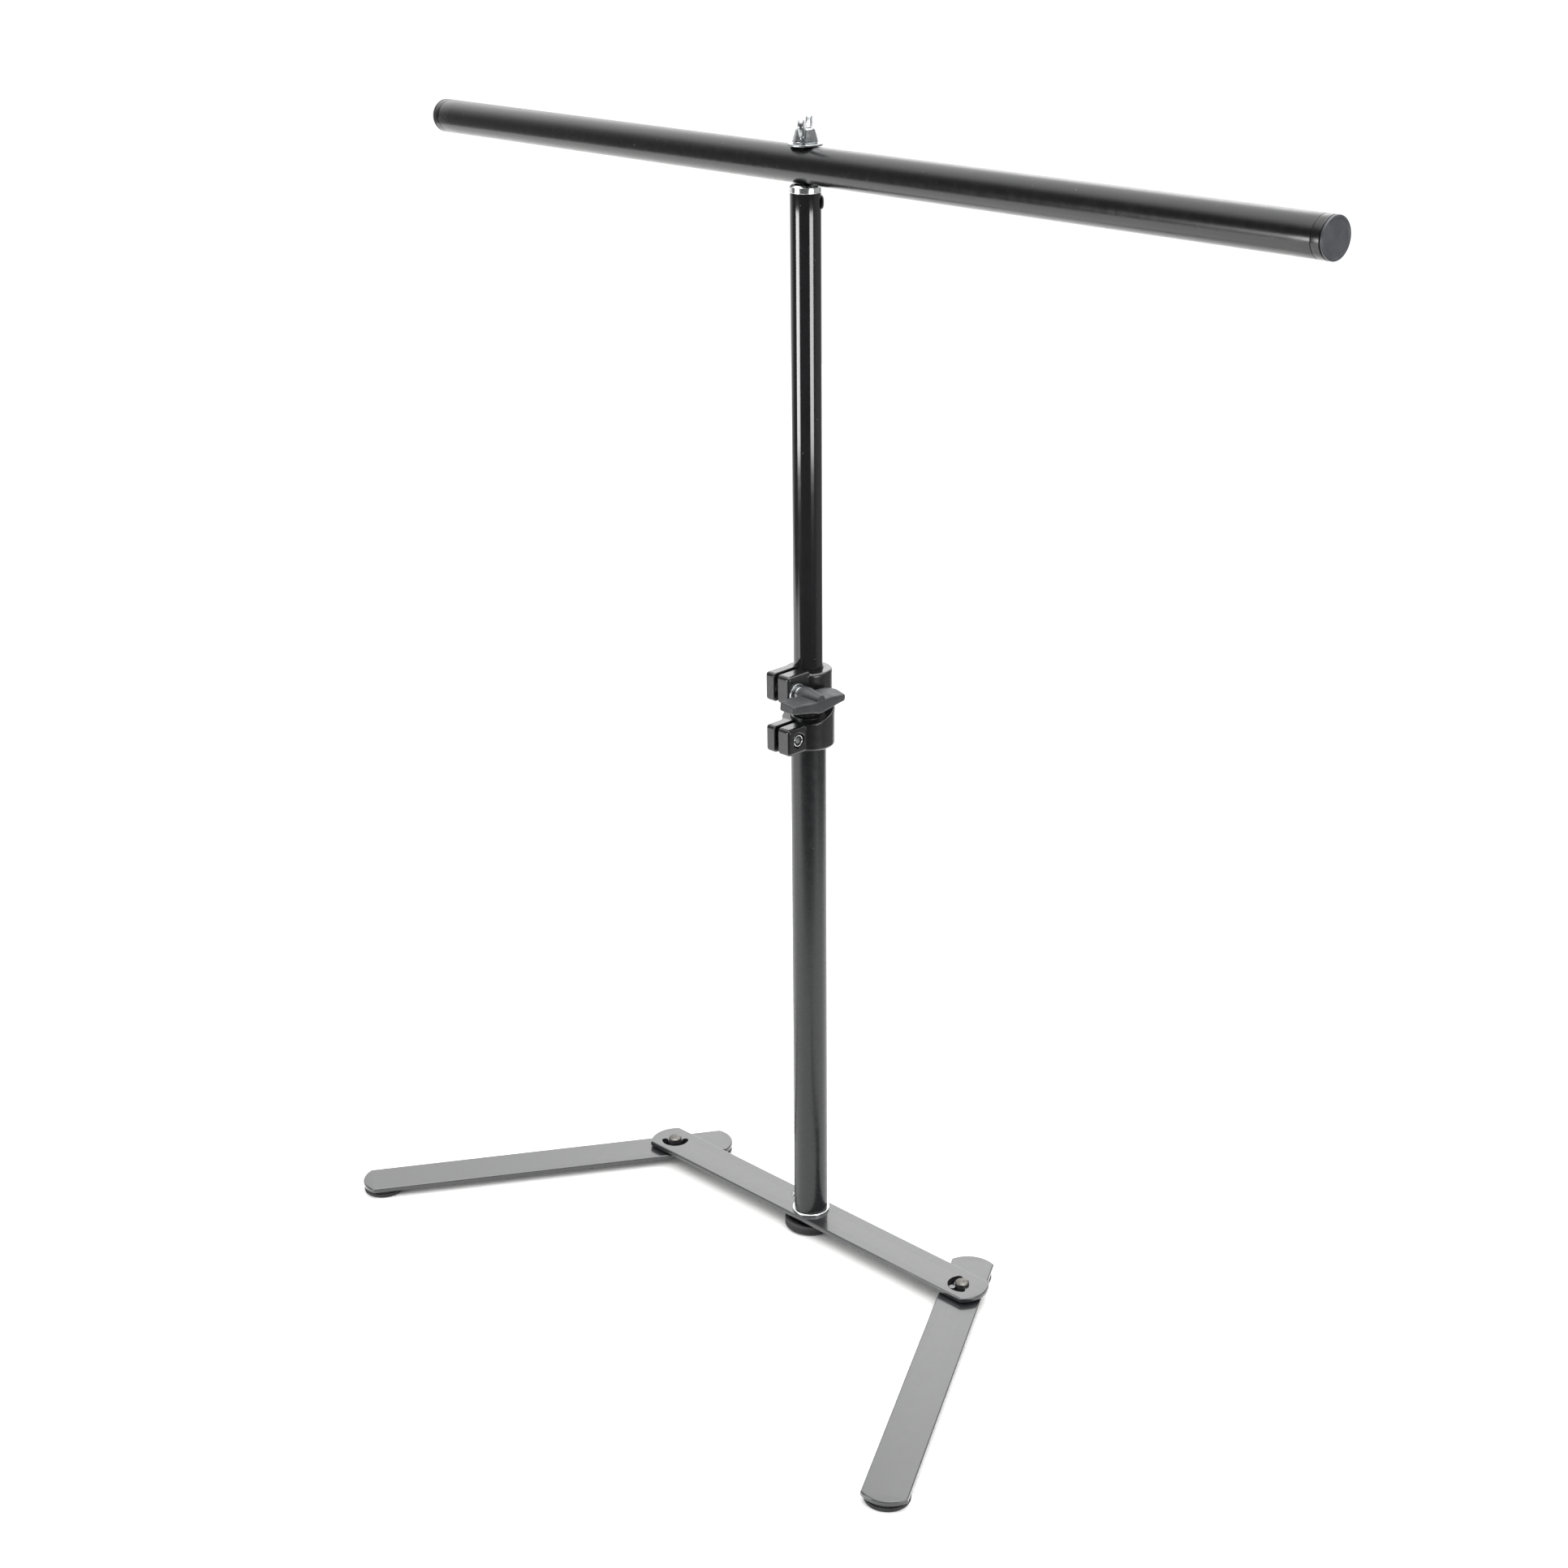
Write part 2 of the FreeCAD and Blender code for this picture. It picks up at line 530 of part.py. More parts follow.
hub.Placement = FreeCAD.Placement(V(0, 0, 0), FreeCAD.Rotation(V(0, 1, 0), 90))
handle_raw = join("handle_raw", [wing_body, hub])
handle = cut("handle_done", handle_raw, [
    rod("handle_hole", "screwRadius", "0", "earHalf + 12", "0", "0", "X")])
place(handle, "0", "screwY", "screwZ", (1, 0, 0), "handleTurn")
node(handle, "clamp_handle")

# Upper tube on its guide bush; silver plug, side screw and stud at the top.
upper_outer = rod("upper_outer", "upperRadius", "upperBottom", "upperTop")
upper_inner = rod("upper_inner", "upperRadius - upperWall", "upperBottom - 1",
                  "upperTop + 1")
upper_hole = rod("upper_side_hole", "1.6", "upperRadius - 4", "upperRadius + 4",
                 "0", "sideScrewZ", "X")
upper_tube = cut("upper_tube_done", upper_outer, [upper_inner, upper_hole])
place(upper_tube, "0", "0", "0", (0, 0, 1), "viewTurn")
node(upper_tube, "upper_tube")
node(turned("guide_bush_done", [
    ("2.5", "upperBottom - bushLength"),
    ("lowerRadius - lowerWall - slidePlay - 1", "upperBottom - bushLength"),
    ("lowerRadius - lowerWall - slidePlay", "upperBottom - bushLength + 1"),
    ("lowerRadius - lowerWall - slidePlay", "upperBottom - 0.05"),
    ("upperRadius - upperWall - slidePlay", "upperBottom - 0.05"),
    ("upperRadius - upperWall - slidePlay", "upperBottom + bushStem"),
    ("2.5", "upperBottom + bushStem")]), "guide_bush")
spigot_raw = turned("spigot_raw", [
    ("studRadius", "upperTop - 20"), ("upperRadius - upperWall", "upperTop - 20"),
    ("upperRadius - upperWall", "upperTop"), ("collarRadius - 0.3", "upperTop"),
    ("collarRadius", "upperTop + 0.3"), ("collarRadius", "collarTop - 1"),
    ("collarRadius - 1", "collarTop"), ("studRadius", "collarTop")])
spigot_hole = rod("spigot_side_hole", "1.6", "0", "upperRadius + 4", "0", "sideScrewZ", "X")
spigot = cut("spigot_done", spigot_raw, [spigot_hole])
side_screw = turned("side_screw_raw", [
    ("0", "studRadius"), ("1.6", "studRadius"), ("1.6", "upperRadius"),
    ("3.6", "upperRadius"), ("3.6", "upperRadius + 0.35"), ("2.8", "upperRadius + 0.9"),
    ("1.5", "upperRadius + 1.2"), ("0", "upperRadius + 1.25")])
side_screw.Placement = FreeCAD.Placement(V(0, 0, 0), FreeCAD.Rotation(V(0, 1, 0), 90))
place(side_screw, "0", "0", "sideScrewZ")
side_screw_done = join("side_screw_done", [side_screw, rod(
    "side_screw_core", "1.4", "studRadius + 0.1", "upperRadius", "0", "sideScrewZ", "X")])
for finished, label in ((spigot, "top_spigot"), (side_screw_done, "spigot_screw")):
    place(finished, "0", "0", "0", (0, 0, 1), "viewTurn")
    node(finished, label)
WASHER_LOW = "(barHeight + crossRadius - 0.05)"
NUT_LOW = "(barHeight + crossRadius + washerThick + 0.05)"
node(rod("stud_done", "studRadius", "upperTop - 20", NUT_LOW + " + 8.4"), "top_stud")

# Crossbar with a stud hole, and a collar and a capped plug at each end.
tube_end = "(crossLength / 2 - capDisc - capGroove - capCollar)"
pieces = []
cross_outer = rod("cross_outer", "crossRadius", "-" + tube_end, tube_end, "0", "barHeight", "X")
cross_inner = rod("cross_inner", "crossRadius - crossWall", "-400", "400", "0", "barHeight",
                  "X")
stud_hole = rod("cross_stud_hole", "studRadius + 0.08", "barHeight - 20", "barHeight + 20")
pieces.append((cut("cross_done", cross_outer, [cross_inner, stud_hole]), "crossbar_tube"))
for side, sign in (("left", 180), ("right", 0)):
    ring = turned(side + "_ring_done", [
        ("crossRadius - crossWall", tube_end), ("crossRadius", tube_end),
        ("crossRadius", tube_end + " + capCollar"),
        ("crossRadius - crossWall", tube_end + " + capCollar")])
    cap = turned(side + "_cap_done", [
        ("0", tube_end + " - 14"), ("crossRadius - crossWall - 0.8", tube_end + " - 14"),
        ("crossRadius - crossWall", tube_end + " - 13"),
        ("crossRadius - crossWall", tube_end + " + capCollar"),
        ("crossRadius - 0.6", tube_end + " + capCollar"),
        ("crossRadius - 0.6", tube_end + " + capCollar + capGroove"),
        ("crossRadius", tube_end + " + capCollar + capGroove"),
        ("crossRadius", "crossLength / 2 - 0.4"), ("crossRadius - 0.4", "crossLength / 2"),
        ("0", "crossLength / 2")])
    for item, label in ((ring, side + "_end_collar"), (cap, side + "_end_cap")):
        quarter = FreeCAD.Rotation(V(0, 0, 1), sign) * FreeCAD.Rotation(V(0, 1, 0), 90)
        item.Placement = FreeCAD.Placement(V(0, 0, 0), quarter)
        place(item, z="barHeight")
        wrapped = doc.addObject("Part::Compound", label + "_done")
        wrapped.Links = [item]
        pieces.append((wrapped, label))
for finished, label in pieces:
    place(finished, "0", "0", "0", (0, 0, 1), "crossYaw")
    node(finished, label)
node(cut("washer_done", rod("washer_raw", "washerRadius", WASHER_LOW + " + 0.05",
                            NUT_LOW + " - 0.05"),
         [rod("washer_hole", "studRadius + 0.2", "barHeight", "barHeight + 30")]),
     "top_washer")

# Wing nut: conical hub and two rounded wings in one vertical plane.
nut_hub = turned("nut_hub", [
    ("0", NUT_LOW), ("6.6", NUT_LOW), ("6.8", NUT_LOW + " + 0.8"), ("5", NUT_LOW + " + 7.2"),
    ("4.6", NUT_LOW + " + 7.6"), ("0", NUT_LOW + " + 7.6")])
nut_parts = [nut_hub]
for side, sign in (("near", 1), ("far", -1)):
    blade = extruded("nut_%s_blade" % side, "XZ_Plane", [
        ("%d * 3.6" % sign, "1.2"), ("%d * 7.2" % sign, "2.4"), ("%d * 12.6" % sign, "6.4"),
        ("%d * 13.6" % sign, "9.2"), ("%d * 12.6" % sign, "12.2"),
        ("%d * 10.6" % sign, "13.4"), ("%d * 8.4" % sign, "12.4"),
        ("%d * 6.4" % sign, "8.6"), ("%d * 3.6" % sign, "6.6")], "3")
    soften(blade, "0.9", lambda point: abs(point.x) > 5)
    place(blade, y="1.5", z=NUT_LOW)
    nut_parts.append(blade)
nut_raw = join("nut_raw", nut_parts)
nut = cut("nut_done", nut_raw, [
    rod("nut_hole", "studRadius + threadPlay", "barHeight", "barHeight + 40")])
place(nut, "0", "0", "0", (0, 0, 1), "wingTurn")
node(nut, "wing_nut")

doc.recompute()
for obj in doc.Objects:
    if "Invalid" in obj.State or "Error" in obj.State:
        raise RuntimeError("failed: " + obj.Name)
os.makedirs("parts", exist_ok=True)
for obj in NODES:
    shape = obj.Shape
    if shape.isNull() or not shape.isValid() or not shape.Solids:
        raise RuntimeError("bad shape: " + obj.Label)
    shape.exportStep("parts/" + obj.Label + ".step")
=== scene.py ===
"""Looks for the tabletop T-bar backdrop stand: pieces, finishes, light and camera."""
import json
import math
import bmesh
import bpy
import numpy as np
from mathutils import Matrix


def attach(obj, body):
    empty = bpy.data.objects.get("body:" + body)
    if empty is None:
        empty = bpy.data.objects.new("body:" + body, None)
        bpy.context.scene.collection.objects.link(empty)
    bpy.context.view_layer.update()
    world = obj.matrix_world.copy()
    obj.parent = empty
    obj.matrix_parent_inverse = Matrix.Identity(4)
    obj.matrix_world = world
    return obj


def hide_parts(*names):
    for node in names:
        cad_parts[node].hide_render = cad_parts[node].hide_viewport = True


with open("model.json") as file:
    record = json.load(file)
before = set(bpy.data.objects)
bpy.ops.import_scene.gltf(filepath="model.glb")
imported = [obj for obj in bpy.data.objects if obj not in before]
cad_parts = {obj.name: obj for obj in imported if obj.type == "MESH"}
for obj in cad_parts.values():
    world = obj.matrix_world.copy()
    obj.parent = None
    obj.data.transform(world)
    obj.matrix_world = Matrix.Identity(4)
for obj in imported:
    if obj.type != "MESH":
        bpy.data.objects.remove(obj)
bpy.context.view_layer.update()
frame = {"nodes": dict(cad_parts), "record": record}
NODES = frame["nodes"]
MM = 0.001
TAU = 2 * math.pi
ARC_STEPS = 6  # flats in each rounded corner of a turned outline
CREASE = 35  # degrees; a sharper edge is shaded as an edge

# ---------------------------------------------------------------- small maths


def turn(axis, degrees):
    """3x3 matrix that turns about X, Y or Z."""
    a = math.radians(degrees)
    c, s = math.cos(a), math.sin(a)
    i, j = {"X": (1, 2), "Y": (2, 0), "Z": (0, 1)}[axis]
    m = np.eye(3)
    m[i, i], m[i, j], m[j, i], m[j, j] = c, -s, s, c
    return m


UPRIGHT = np.eye(3)
ALONG_X = turn("Y", 90)  # a lathe's own +Z is laid along +X


def rounded(corners):
    """Corners (x, y, radius) joined by straight runs, each corner replaced by an arc.

    An arc of radius r meets both runs at r / tan(half angle) from the corner.
    """
    out = []
    last = len(corners) - 1
    for k, (x, y, r) in enumerate(corners):
        here = np.array([x, y], float)
        if r <= 0 or k in (0, last):
            out.append(here)
            continue
        a = np.array(corners[k - 1][:2], float) - here
        b = np.array(corners[k + 1][:2], float) - here
        la, lb = np.linalg.norm(a), np.linalg.norm(b)
        a, b = a / la, b / lb
        half = math.acos(max(-1, min(1, float(a @ b)))) / 2
        run = min(r / math.tan(half), 0.49 * la, 0.49 * lb)
        rad = run * math.tan(half)
        mid = here + (a + b) / np.linalg.norm(a + b) * rad / math.sin(half)
        p0, p1 = here + a * run - mid, here + b * run - mid
        t0 = math.atan2(p0[1], p0[0])
        sweep = (math.atan2(p1[1], p1[0]) - t0 + math.pi) % TAU - math.pi
        for t in np.linspace(t0, t0 + sweep, ARC_STEPS + 1):
            out.append(mid + rad * np.array([math.cos(t), math.sin(t)]))
    return np.array(out)


def along(points, step):
    """Extra points on each run longer than step, so shading stays even."""
    out = [points[0]]
    for a, b in zip(points[:-1], points[1:]):
        n = max(1, int(np.ceil(np.linalg.norm(b - a) / step)))
        out += [a + (b - a) * k / n for k in range(1, n + 1)]
    return np.array(out)


def eased(x, xs, ys):
    """Smooth curve through (xs, ys): cubic pieces whose slopes are the mean of their neighbours'."""
    xs, ys = np.asarray(xs, float), np.asarray(ys, float)
    slope = np.gradient(ys, xs)
    k = np.clip(np.searchsorted(xs, x) - 1, 0, len(xs) - 2)
    w = xs[k + 1] - xs[k]
    t = (x - xs[k]) / w
    return ((1 + 2 * t) * (1 - t) ** 2 * ys[k] + t * (1 - t) ** 2 * w * slope[k]
            + t * t * (3 - 2 * t) * ys[k + 1] + t * t * (t - 1) * w * slope[k + 1])


def squircle(count, power):
    """Unit ring |u|^power + |v|^power = 1, anticlockwise, as two arrays."""
    a = np.arange(count) / count * TAU
    c, s = np.cos(a), np.sin(a)
    return np.sign(c) * np.abs(c) ** (2 / power), np.sign(s) * np.abs(s) ** (2 / power)


# ---------------------------------------------------------------- mesh builders


def finish_mesh(name, verts, faces, body, mat, replaces=()):
    """Object from numpy vertices in metres; faces are index tuples."""
    mesh = bpy.data.meshes.new(name)
    mesh.from_pydata(verts.tolist(), [], faces)
    mesh.validate()
    mesh.polygons.foreach_set("use_smooth", np.ones(len(mesh.polygons), bool))
    mesh.set_sharp_from_angle(angle=math.radians(CREASE))
    mesh.materials.append(mat)
    mesh.update()
    obj = bpy.data.objects.new(name, mesh)
    bpy.context.collection.objects.link(obj)
    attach(obj, body)
    if replaces:
        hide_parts(*replaces)
    return obj


def grid_faces(rows, cols, close_rows, close_cols):
    """Quads of a rows x cols grid whose edges may be joined round."""
    i = np.arange(rows if close_rows else rows - 1)
    j = np.arange(cols if close_cols else cols - 1)
    i, j = [a.ravel() for a in np.meshgrid(i, j, indexing="ij")]
    i2, j2 = (i + 1) % rows, (j + 1) % cols
    quads = np.stack([i * cols + j, i * cols + j2, i2 * cols + j2, i2 * cols + j], 1)
    return quads.tolist()


def skin(rings, poles=None):
    """Vertices and faces of a closed skin through rings of points.

    rings has shape (n, m, 3), each ring running anticlockwise seen from the last
    ring. The first and the last ring are closed with a fan to a pole, which is the
    ring's own centre unless poles are given.
    """
    n, m = rings.shape[:2]
    if poles is None:
        poles = (rings[0].mean(0), rings[-1].mean(0))
    verts = np.vstack([rings.reshape(-1, 3), *poles])
    faces = grid_faces(n, m, False, True)
    first, last, j = n * m, n * m + 1, np.arange(m)
    k = (j + 1) % m
    faces += np.stack([np.full(m, first), k, j], 1).tolist()
    base = (n - 1) * m
    faces += np.stack([np.full(m, last), base + j, base + k], 1).tolist()
    return verts, faces


def turned_skin(corners, count=96, step=3.0, wave=None, hole=False):
    """Surface of revolution about Z: x = r cos a, y = r sin a, z = height, in mm.

    wave(r, z, a) may change r. With a hole, the profile is a loop round a bore, going
    up on the outside and down on the inside.
    """
    profile = along(rounded(corners + corners[:1] if hole else corners), step)
    if hole:
        profile = profile[:-1]
    a = np.arange(count)[None, :] / count * TAU
    r, z = [np.repeat(profile[:, k][:, None], count, 1) for k in (0, 1)]
    if wave is not None:
        r = wave(r, z, a)
    rings = np.stack([r * np.cos(a), r * np.sin(a), z], 2)
    if hole:
        return rings.reshape(-1, 3), grid_faces(len(profile), count, True, True)
    return skin(rings[1:-1], (rings[0, 0], rings[-1, 0]))


def lathe(name, corners, body, mat, slot, at=(0, 0, 0), pose=UPRIGHT, replaces=(), **shape):
    """Turned piece with its axis posed and placed, sizes in mm."""
    verts, faces = turned_skin(corners, **shape)
    return finish_mesh(name, (verts @ pose.T + np.array(at)) * MM, faces, body, mat,
                       replaces)


def together(*skins):
    """Several closed skins as one set of vertices and faces."""
    verts, faces, start = [], [], 0
    for v, f in skins:
        verts.append(v)
        faces += [[i + start for i in face] for face in f]
        start += len(v)
    return np.vstack(verts), faces


def thread(pitch, depth, low, high):
    """Wave for a screw thread between two heights: the radius drops by depth times a
    triangle wave of (z / pitch - turns)."""
    def wave(r, z, a):
        turns = (z / pitch - a / TAU) % 1
        inside = np.clip(np.minimum(z - low, high - z) / (0.5 * pitch), 0, 1)
        return r - depth * np.abs(2 * turns - 1) * inside * (r > 1)
    return wave


def six_sided(across, beyond=0.0):
    """Wave that trims a radius to a hexagon: r <= (across / 2) / cos(angle off a flat)."""
    def wave(r, z, a):
        off = (a + TAU / 12) % (TAU / 6) - TAU / 12
        return np.where(r > beyond, np.minimum(r, across / 2 / np.cos(off)), r)
    return wave


# ---------------------------------------------------------------- finishes


def linear(hexa):
    """sRGB hex colour turned linear, with alpha 1."""
    c = np.array([int(hexa[k:k + 2], 16) for k in (0, 2, 4)]) / 255
    c = np.where(c <= 0.04045, c / 12.92, ((c + 0.055) / 1.055) ** 2.4)
    return (*c.tolist(), 1.0)


def add(tree, kind, inputs, **settings):
    """One node with its settings; an input that is a socket is joined, else it is set."""
    made = tree.nodes.new("ShaderNode" + kind)
    for key, value in settings.items():
        setattr(made, key, value)
    for key, value in inputs.items():
        if isinstance(value, bpy.types.NodeSocket):
            tree.links.new(value, made.inputs[key])
        else:
            made.inputs[key].default_value = value
    return made


def begin(name, **constants):
    """New material: its tree, its shader with constants on its own sockets, its coordinates."""
    mat = bpy.data.materials.new(name)
    mat.use_nodes = True
    tree = mat.node_tree
    tree.nodes.clear()
    sockets = {key.replace("_", " "): value for key, value in constants.items()}
    shader = add(tree, "BsdfPrincipled", sockets)
    add(tree, "OutputMaterial", {"Surface": shader.outputs[0]})
    return mat, tree, shader, add(tree, "TexCoord", {}).outputs["Object"]


DUST = "b9b9b5"


def enamel(name, dark, light, rubbed_and_highlight_tone, rough, peel, coat=0.0, coat_rough=0.1, dust=0.0,
           mote=6.0, index=1.5):
    """Sprayed or powder-coated steel.

    Mottling about 9 mm across, a haze in the shine 4 mm across, orange peel 1.2 mm across
    and peel mm deep, and sharp edges painted paler, partly paint rubbed thin and partly a
    painted highlight. In a lattice of mote mm, some cells hold a speck of dust a few
    hundredths of a cell across, mixed in by dust.
    """
    mat, tree, shader, where = begin(name, Roughness=rough, IOR=index, Coat_Weight=coat,
                                     Coat_Roughness=coat_rough)
    cloud = add(tree, "TexNoise", {"Vector": where, "Scale": 1 / (9 * MM), "Detail": 4.0})
    cloud = add(tree, "MapRange", {"Value": cloud.outputs[0], "From Min": 0.35,
                                   "From Max": 0.65})
    tone = add(tree, "Mix", {0: cloud.outputs[0], 6: linear(dark), 7: linear(light)},
               data_type="RGBA")
    # Sharp edges get the paler tone: partly paint rubbed thin, partly a painted highlight.
    edge = add(tree, "NewGeometry", {}).outputs["Pointiness"]
    edge = add(tree, "MapRange", {"Value": edge, "From Min": 0.52, "From Max": 0.64,
                                  "To Max": 0.5})
    tone = add(tree, "Mix", {0: edge.outputs[0], 6: tone.outputs[2], 7: linear(rubbed_and_highlight_tone)},
               data_type="RGBA")
    motes = add(tree, "TexVoronoi", {"Vector": where, "Scale": 1 / (mote * MM)})
    motes = add(tree, "MapRange", {"Value": motes.outputs[0], "From Min": 0.04,
                                   "From Max": 0.025, "To Max": dust})
    tone = add(tree, "Mix", {0: motes.outputs[0], 6: tone.outputs[2], 7: linear(DUST)},
               data_type="RGBA")
    tree.links.new(tone.outputs[2], shader.inputs["Base Color"])
    haze = add(tree, "TexNoise", {"Vector": where, "Scale": 1 / (4 * MM), "Detail": 5.0})
    haze = add(tree, "MapRange", {"Value": haze.outputs[0], "From Min": 0.3, "From Max": 0.7,
                                  "To Min": rough * 0.9, "To Max": rough * 1.12})
    tree.links.new(haze.outputs[0], shader.inputs["Roughness"])
    skin_relief = add(tree, "TexNoise", {"Vector": where, "Scale": 1 / (1.2 * MM),
                                         "Detail": 2.0})
    relief = add(tree, "Bump", {"Strength": 1.0, "Distance": peel * MM,
                                "Height": skin_relief.outputs[0]})
    tree.links.new(relief.outputs[0], shader.inputs["Normal"])
    tree.links.new(relief.outputs[0], shader.inputs["Coat Normal"])
    return mat


def plated(name, bright, dull, rough, groove, depth=0.003):
    """Turned or pressed metal with a plated face.

    Tool marks are noise of the distance from the mast's axis, groove mm apart and depth
    mm deep: rings on the pieces that stand on the mast, and nearly straight fine lines
    elsewhere. Stains about 2 mm across dull the plating.
    """
    mat, tree, shader, where = begin(name, Metallic=1.0, Roughness=rough)
    flat = add(tree, "VectorMath", {0: where, 1: (1, 1, 0)}, operation="MULTIPLY")
    reach = add(tree, "VectorMath", {0: flat.outputs[0]}, operation="LENGTH")
    rings = add(tree, "TexNoise", {"W": reach.outputs["Value"], "Scale": 1 / (groove * MM),
                                   "Detail": 2.0}, noise_dimensions="1D")
    stain = add(tree, "TexNoise", {"Vector": where, "Scale": 1 / (2 * MM), "Detail": 4.0})
    cloud = add(tree, "MapRange", {"Value": stain.outputs[0], "From Min": 0.4,
                                   "From Max": 0.7})
    tone = add(tree, "Mix", {0: cloud.outputs[0], 6: linear(bright), 7: linear(dull)},
               data_type="RGBA")
    tree.links.new(tone.outputs[2], shader.inputs["Base Color"])
    both = add(tree, "Math", {0: rings.outputs[0], 1: stain.outputs[0]}, operation="ADD")
    gloss = add(tree, "MapRange", {"Value": both.outputs[0], "From Min": 0.7,
                                   "From Max": 1.3, "To Min": rough * 0.7,
                                   "To Max": rough * 1.4})
    tree.links.new(gloss.outputs[0], shader.inputs["Roughness"])
    relief = add(tree, "Bump", {"Strength": 1.0, "Distance": depth * MM,
                                "Height": rings.outputs[0]})
    tree.links.new(relief.outputs[0], shader.inputs["Normal"])
    return mat


def moulded(name, dark, light, rubbed_and_highlight_tone, rough, grain, depth, coat=0.0):
    """Moulded plastic or rubber.

    Spark-eroded texture with grains grain mm across and depth mm deep, colour that
    drifts over about 6 mm, sharp edges painted paler, partly rubbed and partly a painted
    highlight, and shine where hands polish it.
    """
    mat, tree, shader, where = begin(name, Roughness=rough, IOR=1.5, Coat_Weight=coat,
                                     Coat_Roughness=0.2)
    drift = add(tree, "TexNoise", {"Vector": where, "Scale": 1 / (6 * MM), "Detail": 4.0})
    drift = add(tree, "MapRange", {"Value": drift.outputs[0], "From Min": 0.35,
                                   "From Max": 0.65})
    tone = add(tree, "Mix", {0: drift.outputs[0], 6: linear(dark), 7: linear(light)},
               data_type="RGBA")
    # Sharp edges get the paler tone: partly rubbed plastic, partly a painted highlight.
    edge = add(tree, "NewGeometry", {}).outputs["Pointiness"]
    edge = add(tree, "MapRange", {"Value": edge, "From Min": 0.52, "From Max": 0.62,
                                  "To Max": 0.55})
    tone = add(tree, "Mix", {0: edge.outputs[0], 6: tone.outputs[2], 7: linear(rubbed_and_highlight_tone)},
               data_type="RGBA")
    tree.links.new(tone.outputs[2], shader.inputs["Base Color"])
    polish = add(tree, "TexNoise", {"Vector": where, "Scale": 1 / (5 * MM), "Detail": 5.0})
    polish = add(tree, "MapRange", {"Value": polish.outputs[0], "From Min": 0.3,
                                    "From Max": 0.7, "To Min": rough * 0.82,
                                    "To Max": rough * 1.18})
    tree.links.new(polish.outputs[0], shader.inputs["Roughness"])
    spark = add(tree, "TexNoise", {"Vector": where, "Scale": 1 / (grain * MM),
                                   "Detail": 3.0})
    relief = add(tree, "Bump", {"Strength": 1.0, "Distance": depth * MM,
                                "Height": spark.outputs[0]})
    tree.links.new(relief.outputs[0], shader.inputs["Normal"])
    tree.links.new(relief.outputs[0], shader.inputs["Coat Normal"])
    return mat


# Bar and legs: smooth semi-gloss coat that mirrors pale surroundings as an even grey.
STRAP = enamel("semi_gloss_black_powder_coated_strip_steel", "0d0f11", "121416", "3c3c3e",
               rough=0.3, peel=0.003, coat=0.9, coat_rough=0.09)
# Upper mast: wet-looking black with crisp long highlights and specks of dust.
GLOSS = enamel("gloss_black_enamelled_steel_tube", "19191a", "1d1c1e", "2a2a2c",
               rough=0.1, peel=0.0008, dust=0.75, mote=5.0, index=1.58)
# Crossbar: the same black enamel with a softer shine, so its highlights melt into black.
CROSS = enamel("semi_gloss_black_enamelled_steel_tube", "0e0e10", "121214", "2a2a2c",
               rough=0.25, peel=0.001, dust=0.75, mote=5.0, index=1.58)
# Lower mast: softer charcoal coat, broad dull highlights down both sides.
SATIN = enamel("satin_charcoal_powder_coated_steel_tube", "111314", "151718", "3a3b3d",
               rough=0.26, peel=0.001, dust=0.25, mote=7.0, index=1.52)
# Clamp: dense black moulding with a slight shine that catches light on rounded edges.
CLAMP = moulded("glass_filled_nylon_moulding", "19191a", "1b1b1c", "232324", rough=0.22,
                grain=0.6, depth=0.0008, coat=0.3)
# Handle: dry grey-black grip with an even fine texture and no clear highlight.
HANDLE = moulded("matt_glass_filled_nylon_grip", "2d2e30", "353638", "58595d", rough=0.5,
                 grain=0.35, depth=0.006)
# Base knob and leg spacers: dull black, the knob's knurled teeth painted a little paler, partly
# rubbed and partly a painted highlight.
KNOB = moulded("knurled_black_nylon_knob", "1c1c1e", "242426", "47474a", rough=0.42,
               grain=0.4, depth=0.008)
# Tube ends: flat grey plastic with hardly any gloss.
CAP = moulded("matt_grey_black_polypropylene_cap", "45464b", "4e4f54", "74757a", rough=0.38,
              grain=0.4, depth=0.004)
# Feet: black rubber, powdery where it has been handled.
RUBBER = moulded("moulded_black_rubber", "161617", "202022", "3a3a3a", rough=0.7, grain=0.5,
                 depth=0.016)
# Guide bush: off-white waxy plastic, hidden in use.
BUSH = moulded("natural_acetal", "b9b7ae", "cbc9c1", "d8d6cf", rough=0.4, grain=0.6,
               depth=0.01)
# Wing nut and washers: cool bright zinc with soft reflections.
ZINC = plated("bright_zinc_plated_steel", "c0c3c5", "979b9d", rough=0.28, groove=0.6,
              depth=0.002)
# Bolts, studs and nuts: greyer zinc over cut threads.
BOLT = plated("zinc_plated_machined_steel", "a2a4a5", "797b7c", rough=0.28, groove=0.3)
# Pivot rivets: warm satin nickel over a pressed dome.
NICKEL = plated("satin_nickel_plated_steel_rivet", "65635f", "4d4b48", rough=0.38, groove=0.5)
# Collar under the crossbar and ring at the mast's foot: near-white turned metal.
ALLOY = plated("bright_turned_aluminium", "eceded", "d3d4d5", rough=0.13, groove=0.2,
               depth=0.002)
# Side screw of the top collar: black oxide with a low oily sheen.
BLACK_SCREW = enamel("black_oxide_screw_steel", "0b0b0c", "121213", "2e2e30", rough=0.3,
                     peel=0.002, coat=0.2, coat_rough=0.2)

